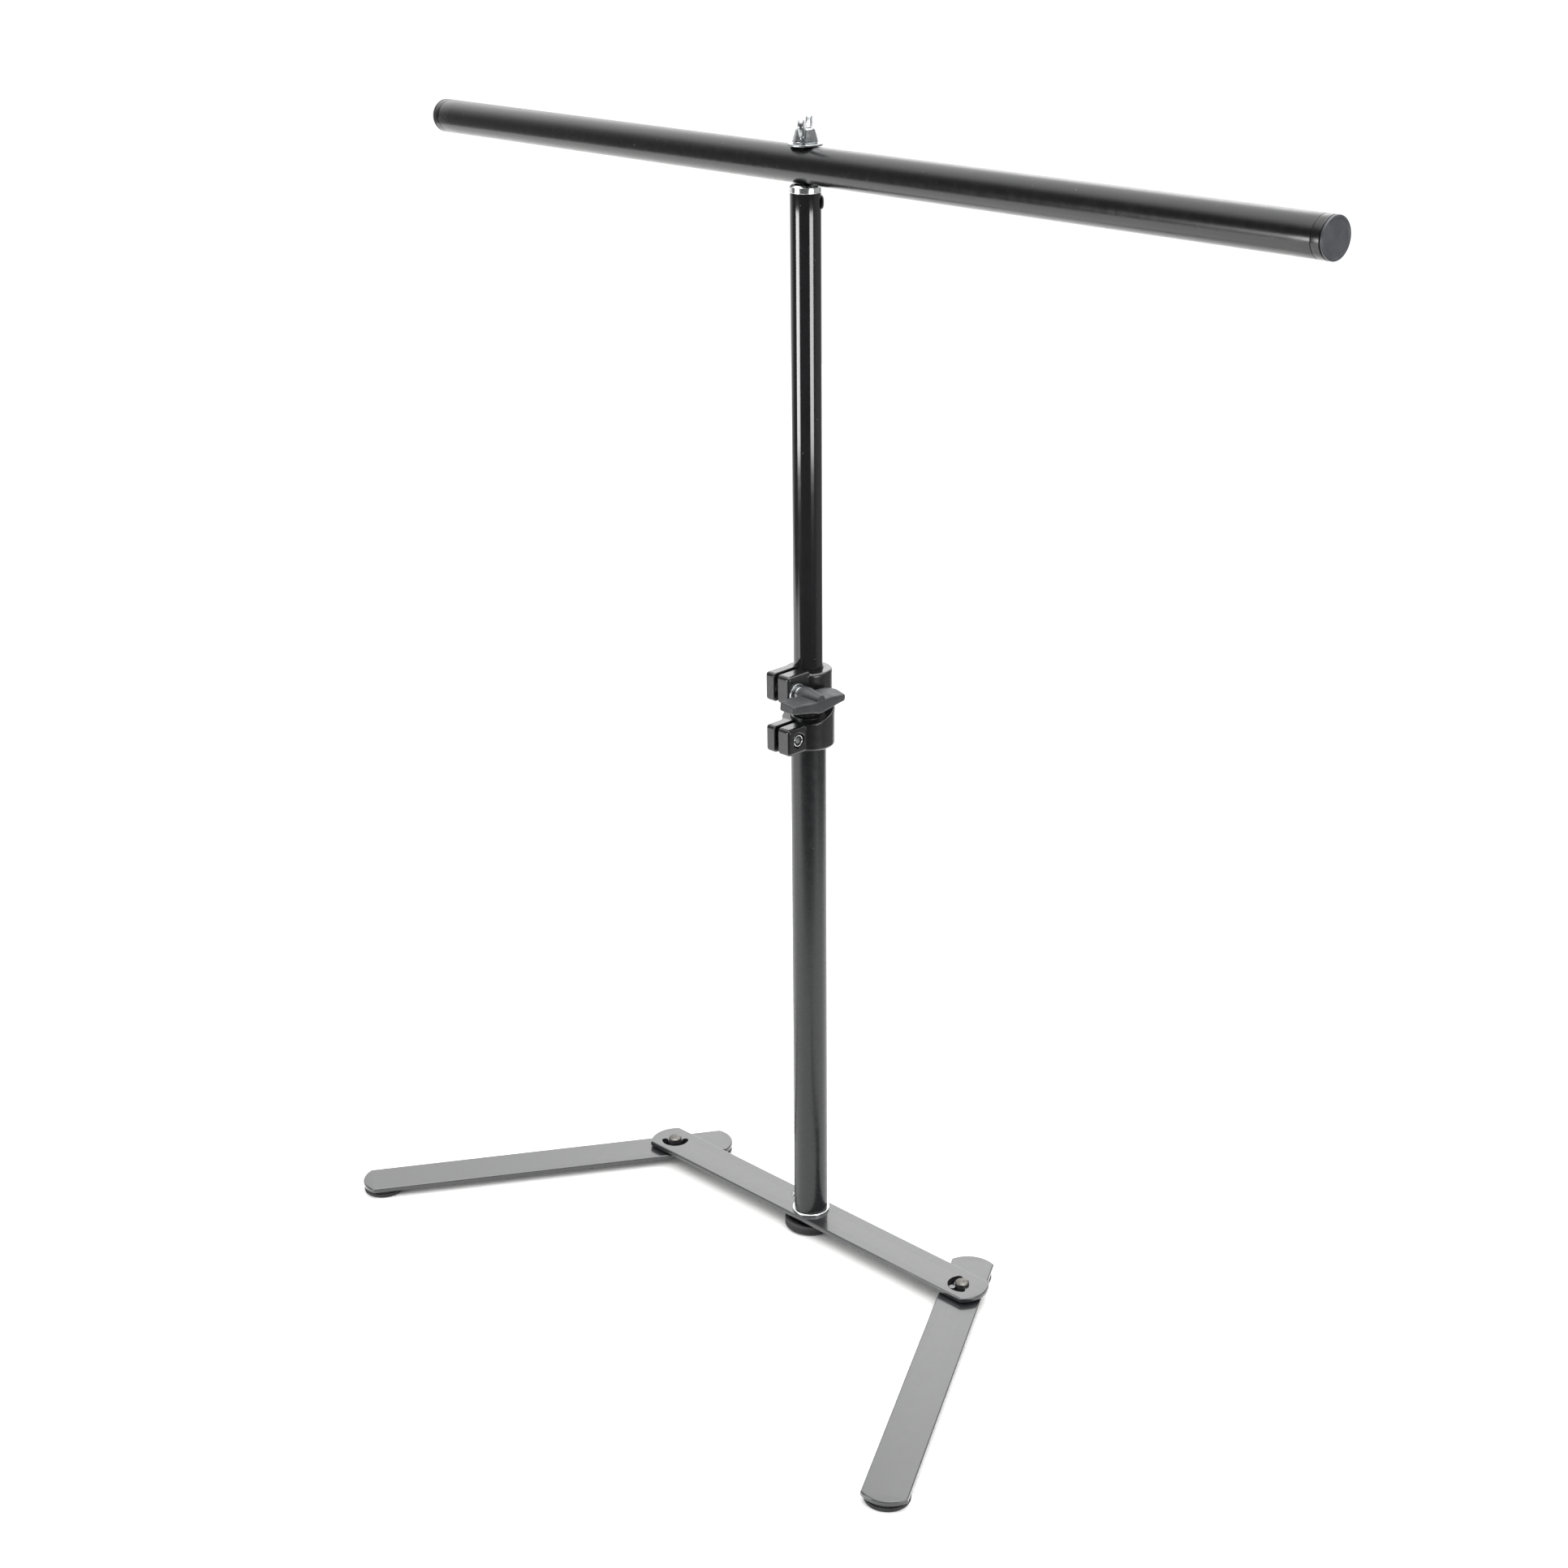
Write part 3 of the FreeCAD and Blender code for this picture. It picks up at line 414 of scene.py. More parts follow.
BY_SLOT = {"strap": STRAP, "pin_steel": STRAP, "nickel": NICKEL, "spacer_nylon": KNOB,
           "foot_rubber": RUBBER, "knob_plastic": KNOB, "bolt_steel": BOLT,
           "bright_alloy": ALLOY, "lower_paint": SATIN, "clamp_plastic": CLAMP,
           "handle_plastic": HANDLE, "zinc": ZINC, "gloss_black": GLOSS,
           "bush_plastic": BUSH, "cap_plastic": CAP, "black_screw": BLACK_SCREW}


def paint_frame():
    """Finish of each record slot on the frame's own pieces."""
    for subpart in frame["record"]["subparts"]:
        for slot in NODES[subpart["node"]].material_slots:
            slot.material = BY_SLOT[subpart["material_slot"]]


# ---------------------------------------------------------------- sizes, in mm and degrees

LOWER_BORE, LOWER_R, LOWER_FOOT, LOWER_TOP = 9.0, 10.0, 12.5, 331.0
UPPER_BORE, UPPER_R, UPPER_FOOT, UPPER_TOP = 7.25, 8.25, 282.0, 617.9
CROSS_Z = 632.0  # height of the crossbar's axis
CROSS_R, CROSS_WALL, CROSS_HALF = 9.75, 1.2, 340.0
CROSS_YAW = turn("Z", -5.3)
END_DISC, END_GROOVE, END_RING, END_SEAM = 1.3, 0.5, 4.8, 0.12
TUBE_END = CROSS_HALF - END_DISC - END_GROOVE - END_RING
SIDE_TURN = 44.7  # the collar's screw points this way, and the foot's pin away from it
STUD_FOOT, STUD_TOP = 597.9, 651.4
WASHER_LOW, WASHER_TOP, WASHER_R = 641.75, 642.95, 9.2
NUT_LOW, NUT_TURN = 643.0, -57
HANDLE_TURN = -6.0
HANDLE_AT = (0, -18.8, 349.8)  # axis of the handle's screw, which runs along X
HANDLE_BACK, HANDLE_FRONT, WING_HALF, WING_TIP = 16.3, 28.7, 21.6, 1.8
LOCK_AT = (0, -17.2, 321.4)  # axis of the lower ears' screw, which runs along X
RING_LOW, RING_R = 11.0, 11.2  # silver ring at the mast's foot
PIN_Z, SIDE_SCREW_Z = 20.0, 613.0
KNOB_R, KNURL_TEETH, KNURL_DEPTH = 15.8, 160, 0.3
PIVOT = 121.0  # each leg's rivet, from the mast's axis
LEG_TURN = {"left": -123.3, "right": -61.2}
LEG_OUT, LEG_BACK, FOOT_INSET = 198.5, 37.0, 12.7  # leg ends and feet, from the rivet
FOOT_R, FOOT_RIBS, RIB_DEPTH = 12.3, 48, 0.12


def loop(inner, outer, low, high, lip):
    """Closed profile of a plain ring or tube, its four corners rounded by lip."""
    middle = (low + high) / 2
    return [(inner, middle, 0), (inner, low, lip), (outer, low, lip), (outer, high, lip),
            (inner, high, lip)]


# ---------------------------------------------------------------- mast and crossbar


def mast_tubes():
    """Lower tube, and the upper tube that slides in it: rings carried along Z."""
    lathe("mast_lower_tube", loop(LOWER_BORE, LOWER_R, LOWER_FOOT, LOWER_TOP, 0.25), "base",
          SATIN, "lower_paint", count=128, step=12, hole=True, replaces=["lower_tube"])
    lathe("mast_upper_tube", loop(UPPER_BORE, UPPER_R, UPPER_FOOT, UPPER_TOP, 0.2),
          "mast_group", GLOSS, "gloss_black", count=128, step=12, hole=True,
          replaces=["upper_tube"])


def crossbar_tube():
    """Plain tube laid along X and turned by the crossbar's yaw."""
    lathe("crossbar", loop(CROSS_R - CROSS_WALL, CROSS_R, -TUBE_END, TUBE_END, 0.15),
          "crossbar_group", CROSS, "gloss_black", at=(0, 0, CROSS_Z),
          pose=CROSS_YAW @ ALONG_X, count=128, step=12, hole=True,
          replaces=["crossbar_tube"])


def crossbar_end(side, sign):
    """Flush ring behind a seam, then the cap: plug, groove, and a flat disc with a
    rounded rim and a faint dish."""
    pose = CROSS_YAW @ turn("Z", 0 if sign > 0 else 180) @ ALONG_X
    ring_end = TUBE_END + END_RING
    disc = ring_end + END_GROOVE
    lathe(side + "_collar_ring",
          loop(CROSS_R - CROSS_WALL, CROSS_R, TUBE_END + END_SEAM, ring_end, 0.35),
          "crossbar_group", CROSS, "gloss_black", at=(0, 0, CROSS_Z), pose=pose,
          count=128, hole=True, replaces=[side + "_end_collar"])
    lathe(side + "_tube_cap",
          [(0, TUBE_END - 14, 0), (7.7, TUBE_END - 14, 0.6), (8.5, TUBE_END - 12.6, 0.4),
           (8.5, ring_end, 0.1), (9.1, ring_end, 0.05), (9.1, disc, 0.1),
           (CROSS_R, disc, 0.15), (CROSS_R, CROSS_HALF, 0.55), (8.4, CROSS_HALF, 0.3),
           (8.1, CROSS_HALF - 0.18, 0.3), (0, CROSS_HALF - 0.18, 0)],
          "crossbar_group", CAP, "cap_plastic", at=(0, 0, CROSS_Z), pose=pose,
          count=128, step=1.5, replaces=[side + "_end_cap"])


def top_collar():
    """Silver collar: turned face and chamfered top, its plug down inside the tube. Its
    black side screw has a domed head with a small socket."""
    lathe("top_collar",
          [(3, 610, 0), (3, 598, 0.2), (7.2, 598, 0.3), (7.2, UPPER_TOP, 0.05),
           (8.1, UPPER_TOP + 0.02, 0.1), (8.45, 618.3, 0.15), (8.45, 621.1, 0.2),
           (7.45, 622.15, 0.2), (3, 622.15, 0.2)],
          "mast_group", ALLOY, "bright_alloy", count=128, step=1, hole=True,
          replaces=["top_spigot"])
    lathe("collar_side_screw",
          [(0, 3.1, 0), (1.4, 3.1, 0), (1.4, 8.2, 0), (3.55, 8.2, 0.05), (3.6, 8.65, 0.25),
           (2.9, 9.2, 0.6), (1.7, 9.48, 0.6), (1.1, 9.46, 0.1), (0.9, 8.9, 0.1),
           (0, 8.9, 0)],
          "mast_group", BLACK_SCREW, "black_screw", at=(0, 0, SIDE_SCREW_Z),
          pose=turn("Z", SIDE_TURN) @ ALONG_X, count=64, step=0.4,
          replaces=["spigot_screw"])


def crossbar_stud():
    """M6 stud with a 1 mm thread, and the wide washer on the crossbar."""
    lathe("crossbar_stud",
          [(0, STUD_FOOT, 0), (2.6, STUD_FOOT, 0.1), (3, STUD_FOOT + 0.5, 0.1),
           (3, STUD_TOP - 0.4, 0.1), (2.5, STUD_TOP, 0.2), (0, STUD_TOP, 0)],
          "mast_group", BOLT, "bolt_steel", count=48, step=0.16,
          wave=thread(1.0, 0.45, STUD_FOOT + 0.6, STUD_TOP - 0.5), replaces=["top_stud"])
    lathe("bar_washer", loop(3.2, WASHER_R, WASHER_LOW, WASHER_TOP, 0.35),
          "crossbar_group", ZINC, "zinc", count=96, step=1, hole=True,
          replaces=["top_washer"])


# ---------------------------------------------------------------- wing nut


def closed_curve(points, per=8):
    """Smooth loop through points: each span is the cubic whose end slopes are half the
    step between the neighbouring points."""
    p = np.array(points, float)
    before, after, beyond = np.roll(p, 1, 0), np.roll(p, -1, 0), np.roll(p, -2, 0)
    t = (np.arange(per) / per)[None, :, None]
    a, b, c, d = [q[:, None, :] for q in (before, p, after, beyond)]
    out = 0.5 * (2 * b + (c - a) * t + (2 * a - 5 * b + 4 * c - d) * t ** 2
                 + (3 * b - a - 3 * c + d) * t ** 3)
    return out.reshape(-1, 2)


def pillow(outline, half, edge, steps=7):
    """Flat plate with rounded rims: rings of the outline moved in along its own normal
    by edge * (1 - cos q) at height +-(half - edge + edge * sin q), q from 90 to 0."""
    ahead = np.roll(outline, -1, 0) - np.roll(outline, 1, 0)
    normal = np.stack([ahead[:, 1], -ahead[:, 0]], 1)
    normal /= np.linalg.norm(normal, axis=1)[:, None]
    q = np.linspace(math.pi / 2, 0, steps)
    inset = edge * (1 - np.cos(q))
    height = half - edge + edge * np.sin(q)
    inset = np.concatenate([inset, inset[::-1]])
    height = np.concatenate([-height, height[::-1]])
    flat = outline[None] - normal[None] * inset[:, None, None]
    return np.concatenate([flat, np.repeat(height, len(outline)).reshape(
        len(height), -1, 1)], 2)


def wing_nut():
    """Turned hub with a wide foot, and two wings: one rounded plate and its half turn.
    The wing's outline is given from the axis outwards and up from the nut's foot."""
    wing = [(2.6, 1.3), (7.2, 2.3), (11.4, 4.9), (13.5, 8.8), (12.9, 11.9), (10.9, 13.2),
            (8.8, 12.5), (6.7, 8.9), (2.6, 6.4)]
    hub = turned_skin([(3.05, 4, 0), (3.05, 0, 0.1), (6.3, 0, 0.3), (6.8, 0.8, 0.4),
                       (6.2, 3.0, 1.2), (5.0, 7.0, 0.6), (4.5, 7.6, 0.2), (3.3, 7.6, 0.2),
                       (3.05, 7.3, 0.05)], count=72, step=0.7, hole=True)
    plate, faces = skin(pillow(closed_curve(wing), 1.6, 1.25) @ turn("X", 90).T)
    verts, faces = together(hub, (plate, faces), (plate @ turn("Z", 180).T, faces))
    verts = verts @ turn("Z", NUT_TURN).T + (0, 0, NUT_LOW)
    finish_mesh("wing_nut_forging", verts * MM, faces, "wing_nut_group", ZINC,
                replaces=["wing_nut"])


# ---------------------------------------------------------------- clamp


def clamp_moulding(cell=0.35, passes=12):
    """Clamp with soft edges: the frame's own clamp merged into one skin, cut into even
    cells and relaxed, so that each sharp edge draws in to a radius of about two cells."""
    mesh = NODES["clamp_body"].data.copy()
    mesh.name = "clamp_moulding"
    merged = bmesh.new()
    merged.from_mesh(mesh)
    bmesh.ops.remove_doubles(merged, verts=merged.verts, dist=0.001 * MM)
    merged.to_mesh(mesh)
    merged.free()
    mesh.materials.clear()
    mesh.materials.append(CLAMP)
    obj = bpy.data.objects.new("clamp_moulding", mesh)
    bpy.context.collection.objects.link(obj)
    remesh = obj.modifiers.new("even_cells", "REMESH")
    remesh.mode = "VOXEL"
    remesh.voxel_size = cell * MM
    remesh.use_smooth_shade = True
    relax = obj.modifiers.new("relaxed", "SMOOTH")
    relax.factor = 0.5
    relax.iterations = passes
    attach(obj, "base")
    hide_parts("clamp_body")


# Stations along the handle's wings: offset, inset at the back and front, top at the back
# and front, bottom; all in mm from the screw's axis.
STATIONS = np.array([
    (-21.6, 0.9, 0.5, 0.9, -0.5, -4.9), (-13.0, 0, 0, 1.5, -0.2, -5.6),
    (-6.0, 0, 0, 1.3, -0.3, -6.2), (0.0, 0, 0, 2.2, 0.6, -7.2), (6.0, 0, 0, 3.2, 1.4, -5.8),
    (13.0, 0.4, 0.5, 3.6, 1.2, -4.2), (21.6, 2.0, 2.2, 2.3, 0.5, -3.1)])


def handle_wings(rows=72, columns=72, power=7):
    """Both wings as one body: squarish sections across Y, smoothly eased between the
    stations, whose top slopes from back to front, closed at both tips like a dome."""
    flat = WING_HALF - WING_TIP
    cap = np.sin(np.linspace(0, math.pi / 2, 9))[1:] * WING_TIP
    y = np.concatenate([-(flat + cap)[::-1], np.linspace(-flat, flat, rows), flat + cap])
    back, front, top_back, top_front, low = [eased(y, STATIONS[:, 0], STATIONS[:, k])[:, None]
                                             for k in range(1, 6)]
    rise = np.clip((np.abs(y) - flat) / WING_TIP, 0, 1)
    inset = 1 - np.sqrt(np.clip(1 - rise ** 2, 0, 1))[:, None]
    u, v = squircle(columns, power)
    side = (u[None, :] + 1) / 2
    top = top_back * (1 - side) + top_front * side - inset
    low = low + inset
    x_low, x_high = HANDLE_BACK + back + inset, HANDLE_FRONT - front - inset
    x = (x_low + x_high) / 2 + (x_high - x_low) / 2 * u[None, :]
    z = (top + low) / 2 + (top - low) / 2 * v[None, :]
    rings = np.stack([x, np.repeat(y[:, None], columns, 1), z], 2)
    return skin(rings[:, ::-1])


def clamp_handle():
    """Wings and a turned hub laid along X, and the steel collar moulded into the hub: a
    rolled front lip, then a plain neck."""
    verts, faces = turned_skin([(0, 13.9, 0), (5.0, 13.9, 0.1), (5.3, 14.3, 0.2),
                                (5.3, 18.0, 2), (3.2, 28.2, 0.5), (0, 28.3, 0)],
                               count=96, step=0.8)
    verts, faces = together((verts @ ALONG_X.T, faces), handle_wings())
    verts = verts @ turn("X", HANDLE_TURN).T + HANDLE_AT
    finish_mesh("clamp_wing_handle", verts * MM, faces, "handle_group", HANDLE,
                replaces=["clamp_handle"])
    lathe("handle_insert_collar",
          [(3.05, 12, 0), (3.05, 10.6, 0.1), (4.0, 10.6, 0.2), (4.2, 11.6, 0.2),
           (3.8, 12.0, 0.15), (3.8, 14.2, 0), (3.05, 14.2, 0)],
          "handle_group", BOLT, "bolt_steel", at=HANDLE_AT, pose=ALONG_X, count=72,
          step=0.4, hole=True)


def handle_screw():
    """M6 screw of the handle with its washer on the near ear and its nut in the far ear."""
    lathe("clamp_knob_screw",
          [(0, -10.9, 0), (2.5, -10.9, 0.2), (3, -10.3, 0.1), (3, 21.3, 0), (0, 21.3, 0)],
          "handle_group", BOLT, "bolt_steel", at=HANDLE_AT, pose=ALONG_X, count=48,
          step=0.16, wave=thread(1.0, 0.45, -10.4, 9.0), replaces=["knob_screw"])
    lathe("clamp_washer", loop(3.3, 5.8, 9.3, 10.5, 0.3), "base", ZINC, "zinc",
          at=HANDLE_AT, pose=ALONG_X, count=72, hole=True, replaces=["knob_washer"])
    lathe("clamp_rear_nut",
          [(3.05, 6.4, 0), (3.05, 4.7, 0.1), (4.8, 4.7, 0.2), (5.7, 5.1, 0.3),
           (5.7, 8.7, 0.3), (4.8, 9.1, 0.2), (3.05, 9.1, 0.1)],
          "base", BOLT, "bolt_steel", at=HANDLE_AT, pose=turn("Z", 180) @ ALONG_X,
          count=96, step=0.5, wave=six_sided(10.0, 3.5), hole=True, replaces=["knob_nut"])


def lock_screw():
    """Fixed M4 screw of the lower ears. Its nut is a hexagon in a pocket, with a bright
    rolled collar and a dark locking ring in it; the screw's domed end shows inside."""
    lathe("clamp_lock_nut_hexagon",
          [(2.05, 7.0, 0), (2.05, 5.9, 0.1), (3.3, 5.9, 0.2), (4.0, 6.2, 0.2),
           (4.0, 7.2, 0.3), (3.3, 7.6, 0.2), (2.05, 7.6, 0.1)],
          "base", BOLT, "bolt_steel", at=LOCK_AT, pose=ALONG_X, count=96, step=0.4,
          wave=six_sided(7.0, 3.2), hole=True, replaces=["clamp_lock_nut"])
    lathe("clamp_lock_nut_collar",
          [(2.75, 8.0, 0), (2.75, 7.65, 0.1), (3.45, 7.65, 0.2), (3.4, 8.9, 0.3),
           (2.75, 8.9, 0.3)],
          "base", ALLOY, "bright_alloy", at=LOCK_AT, pose=ALONG_X, count=96, step=0.2,
          hole=True)
    lathe("clamp_lock_ring", loop(1.75, 2.73, 7.95, 8.3, 0.1), "base", KNOB,
          "spacer_nylon", at=LOCK_AT, pose=ALONG_X, count=64, step=0.3, hole=True)
    lathe("clamp_lock_screw_turned",
          [(0, -7.9, 0), (1.65, -7.9, 0.05), (1.65, -9.35, 0.1), (3.1, -9.45, 0.3),
           (3.5, -9.0, 0.3), (3.5, -5.3, 0.1), (2, -5.3, 0.1), (2, 7.9, 0.1),
           (1.7, 7.95, 0.05), (1.4, 8.5, 0.3), (0, 8.6, 0)],
          "base", BOLT, "bolt_steel", at=LOCK_AT, pose=ALONG_X, count=48, step=0.2,
          wave=thread(0.7, 0.3, -2, 7.8), replaces=["clamp_lock_screw"])


# ---------------------------------------------------------------- foot of the mast


def mast_foot():
    """Bright flange with its plug up inside the tube, and the small pin in its side."""
    lathe("foot_ring",
          [(4.1, 20, 0), (4.1, RING_LOW, 0.2), (RING_R, RING_LOW, 0.25),
           (RING_R, LOWER_FOOT, 0.45), (8.95, LOWER_FOOT, 0.1), (8.95, 32, 0.5),
           (4.1, 32, 0.3)],
          "base", ALLOY, "bright_alloy", count=128, step=1.5, hole=True,
          replaces=["base_insert"])
    lathe("foot_side_pin",
          [(0, 8.9, 0), (1.1, 8.9, 0), (1.1, 9.9, 0), (1.65, 9.9, 0.1), (1.7, 11.1, 0.4),
           (0.9, 11.6, 0.4), (0, 11.6, 0)],
          "base", BOLT, "bolt_steel", at=(0, 0, PIN_Z),
          pose=turn("Z", SIDE_TURN + 180) @ ALONG_X, count=48, step=0.3,
          replaces=["insert_pin"])


def knurl(r, z, a):
    """Straight knurl: rounded teeth on the knob's rim, each the sine of half its turn,
    faded out at both ends."""
    fade = np.clip((z - 0.9) / 0.8, 0, 1) * np.clip((6.3 - z) / 0.7, 0, 1)
    tooth = np.abs(np.sin(KNURL_TEETH / 2 * a)) ** 0.7
    return r - KNURL_DEPTH * tooth * fade * (r > KNOB_R - 0.6)


def base_knob():
    """Knurled thumb knob, hollow round a raised hub, and its M8 bolt up into the mast."""
    lathe("base_thumb_knob",
          [(0, 0.25, 0), (6, 0.25, 0.3), (6.6, 0, 0.3), (14.2, 0, 0.8), (KNOB_R, 1.5, 0.9),
           (KNOB_R, 6.4, 0.45), (13.4, 6.4, 0.35), (13.2, 3.4, 0.5), (7.2, 3.4, 0.5),
           (7, 7.9, 0.35), (4.05, 7.9, 0.2), (4.0, 7.0, 0), (0, 7.0, 0)],
          "base_knob_group", KNOB, "knob_plastic", count=4 * KNURL_TEETH, step=2.5,
          wave=knurl, replaces=["base_knob"])
    lathe("base_draw_bolt",
          [(0, 1.3, 0), (3.9, 1.3, 0.2), (4, 1.8, 0), (4, 28.4, 0.1), (3.4, 29, 0.2),
           (0, 29, 0)],
          "base_knob_group", BOLT, "bolt_steel", count=48, step=0.2,
          wave=thread(1.25, 0.55, 8.5, 28.6), replaces=["base_bolt"])


# ---------------------------------------------------------------- pivots and feet


def leg_pivot(side, sign):
    """Rivet: pressed head below, shank through bar and leg, dome with a dimple above.
    Its spacer lies between bar and leg."""
    lathe(side + "_pivot_rivet",
          [(0, 2.6, 0), (3.3, 2.6, 0.3), (3.9, 3.1, 0.2), (3.9, 3.95, 0.05), (2.5, 3.95, 0),
           (2.5, 11, 0), (3.9, 11, 0.05), (4.1, 11.4, 0.2), (4.1, 12.3, 0.7),
           (3.2, 12.85, 0.8), (0.9, 13.15, 0.5), (0.5, 12.98, 0.2), (0, 12.96, 0)],
          "base", NICKEL, "nickel", at=(PIVOT * sign, 0, 0), count=72, step=0.5,
          replaces=[side + "_rivet"])
    lathe(side + "_pivot_spacer", loop(2.5, 4.4, 7.05, 8, 0.15), "base", KNOB,
          "spacer_nylon", at=(PIVOT * sign, 0, 0), count=64, hole=True,
          replaces=[side + "_spacer"])


def foot_ribs(r, z, a):
    """Moulded grip: a shallow cosine ripple round the foot's lower band."""
    fade = np.clip((z - 0.5) / 0.4, 0, 1) * np.clip((2.3 - z) / 0.4, 0, 1)
    ripple = 0.5 - 0.5 * np.cos(FOOT_RIBS * a)
    return r - RIB_DEPTH * ripple * fade * (r > FOOT_R - 0.7)


def rubber_foot(side, sign, end, reach):
    """Foot under a leg, reach mm out from the rivet: sole with a shallow hollow, ribbed
    band, step, and a neck up to the leg."""
    heading = math.radians(LEG_TURN[side])
    lathe("%s_%s_rubber_foot" % (side, end),
          [(0, 0.35, 0), (7.5, 0.35, 0.4), (8.2, 0, 0.2), (11.6, 0, 0.5),
           (FOOT_R, 0.7, 0.4), (FOOT_R, 2.5, 0.2), (11.2, 2.75, 0.15), (11.2, 4, 0.25),
           (0, 4, 0)],
          side + "_leg_group", RUBBER, "foot_rubber",
          at=(PIVOT * sign + reach * math.cos(heading), reach * math.sin(heading), 0),
          count=6 * FOOT_RIBS, step=0.6, wave=foot_ribs,
          replaces=["%s_%s_foot" % (side, end)])


# ---------------------------------------------------------------- floor, light, camera

# The camera looks from +X, -Y: AWAY points from it to the back, RIGHT to its right.
AWAY = np.array([-0.703, 0.711, 0.0])
RIGHT = np.array([0.711, 0.703, 0.0])
FLOOR_AWAY = (-0.46, 2.6)  # metres, from in front of the mast to behind it
FLOOR_RIGHT = (-1.3, 0.6)
FLOOR_CELLS = 24
BRIGHT = 2.9  # studio's brightness overhead and high on the back wall
WALL = 1.3  # near the horizon on the back wall
DIM = 0.12  # on the camera's side
FILL = 0.3  # added on the right
LEFT_WING = 0.66  # how much of the wall's brightness is left on the left
LAMP = 3.5  # soft box straight overhead
BACKDROP = 1.05  # plain white behind the object
BOX_REACH, BOX_SIZE = 1.5, (0.7, 0.34)  # soft boxes beside the camera, in metres


def floor_piece():
    """Pale seamless floor: the flat grid u * AWAY + v * RIGHT."""
    u, v = np.meshgrid(np.linspace(*FLOOR_AWAY, FLOOR_CELLS + 1),
                       np.linspace(*FLOOR_RIGHT, FLOOR_CELLS + 1), indexing="ij")
    verts = u[..., None] * AWAY + v[..., None] * RIGHT
    faces = grid_faces(FLOOR_CELLS + 1, FLOOR_CELLS + 1, False, False)
    mesh = bpy.data.meshes.new("floor")
    mesh.from_pydata(verts.reshape(-1, 3).tolist(), [], [f[::-1] for f in faces])
    mat, tree, shader, where = begin("matt_white_paper_floor", Roughness=0.9)
    cloud = add(tree, "TexNoise", {"Vector": where, "Scale": 1 / (160 * MM), "Detail": 3.0})
    tone = add(tree, "Mix", {0: cloud.outputs[0], 6: linear("f1f1f0"), 7: linear("f7f7f6")},
               data_type="RGBA")
    tree.links.new(tone.outputs[2], shader.inputs["Base Color"])
    tooth = add(tree, "TexNoise", {"Vector": where, "Scale": 1 / (1.5 * MM), "Detail": 3.0})
    relief = add(tree, "Bump", {"Strength": 1.0, "Distance": 0.01 * MM,
                                "Height": tooth.outputs[0]})
    tree.links.new(relief.outputs[0], shader.inputs["Normal"])
    mesh.materials.append(mat)
    obj = bpy.data.objects.new("floor", mesh)
    bpy.context.collection.objects.link(obj)


def studio():
    """White studio as the world: bright overhead and behind, dim on the camera's side.

    front rises from 0 to 1 as a direction turns from the back to the camera's side, a
    little sooner on the right; low falls from 1 to 0 as it turns up; wing fades to
    LEFT_WING on the left. The wall's brightness is WALL near the horizon and BRIGHT higher
    up, and the whole is wall * (1 - front * low) * wing + fill, where fill goes from DIM
    to DIM + FILL on the right. Shiny surfaces also see LAMP, a soft box straight overhead.
    """
    world = bpy.data.worlds.new("studio")
    world.use_nodes = True
    tree = world.node_tree
    way = add(tree, "TexCoord", {}).outputs["Generated"]
    front = add(tree, "VectorMath", {0: way, 1: tuple(0.2 * RIGHT - AWAY)},
                operation="DOT_PRODUCT")
    front = add(tree, "MapRange", {"Value": front.outputs["Value"], "From Min": -0.9,
                                   "From Max": -0.35}, interpolation_type="SMOOTHSTEP")
    rise = add(tree, "SeparateXYZ", {0: way}).outputs["Z"]
    low = add(tree, "MapRange", {"Value": rise, "From Min": 0.42, "From Max": 0.8,
                                 "To Min": 1.0, "To Max": 0.0},
              interpolation_type="SMOOTHSTEP")
    shade = add(tree, "Math", {0: front.outputs[0], 1: low.outputs[0]}, operation="MULTIPLY")
    open_wall = add(tree, "Math", {0: 1.0, 1: shade.outputs[0]}, operation="SUBTRACT")
    wall = add(tree, "MapRange", {"Value": rise, "From Min": 0.05, "From Max": 0.42,
                                  "To Min": WALL, "To Max": BRIGHT},
               interpolation_type="SMOOTHSTEP")
    wall = add(tree, "Math", {0: wall.outputs[0], 1: open_wall.outputs[0]},
               operation="MULTIPLY")
    side = add(tree, "VectorMath", {0: way, 1: tuple(RIGHT)},
               operation="DOT_PRODUCT").outputs["Value"]
    wing = add(tree, "MapRange", {"Value": side, "From Min": -0.15, "From Max": 0.1,
                                  "To Min": LEFT_WING, "To Max": 1.05},
               interpolation_type="SMOOTHSTEP")
    fill = add(tree, "MapRange", {"Value": side, "From Min": 0.75, "From Max": 0.98,
                                  "To Min": DIM, "To Max": DIM + FILL},
               interpolation_type="SMOOTHSTEP")
    power = add(tree, "Math", {0: wall.outputs[0], 1: wing.outputs[0],
                               2: fill.outputs[0]}, operation="MULTIPLY_ADD")
    lamp = add(tree, "MapRange", {"Value": rise, "From Min": 0.88, "From Max": 0.93,
                                  "To Max": LAMP}, interpolation_type="SMOOTHSTEP")
    path = add(tree, "LightPath", {}).outputs
    power = add(tree, "Math", {0: lamp.outputs[0], 1: path["Is Glossy Ray"],
                               2: power.outputs[0]}, operation="MULTIPLY_ADD")
    power = add(tree, "Mix", {0: path["Is Camera Ray"], 2: power.outputs[0], 3: BACKDROP},
                data_type="FLOAT")
    back = tree.nodes["Background"]
    tree.links.new(power.outputs[0], back.inputs["Strength"])
    back.inputs["Color"].default_value = (1, 1, 1, 1)
    bpy.context.scene.world = world


def stand_at(obj, x, y, z, place):
    """Links a light or the camera, with its own axes and place given in the world's."""
    matrix = np.eye(4)
    matrix[:3] = np.stack([x, y, z, place], 1)
    obj.matrix_world = Matrix(matrix.tolist())
    bpy.context.collection.objects.link(obj)


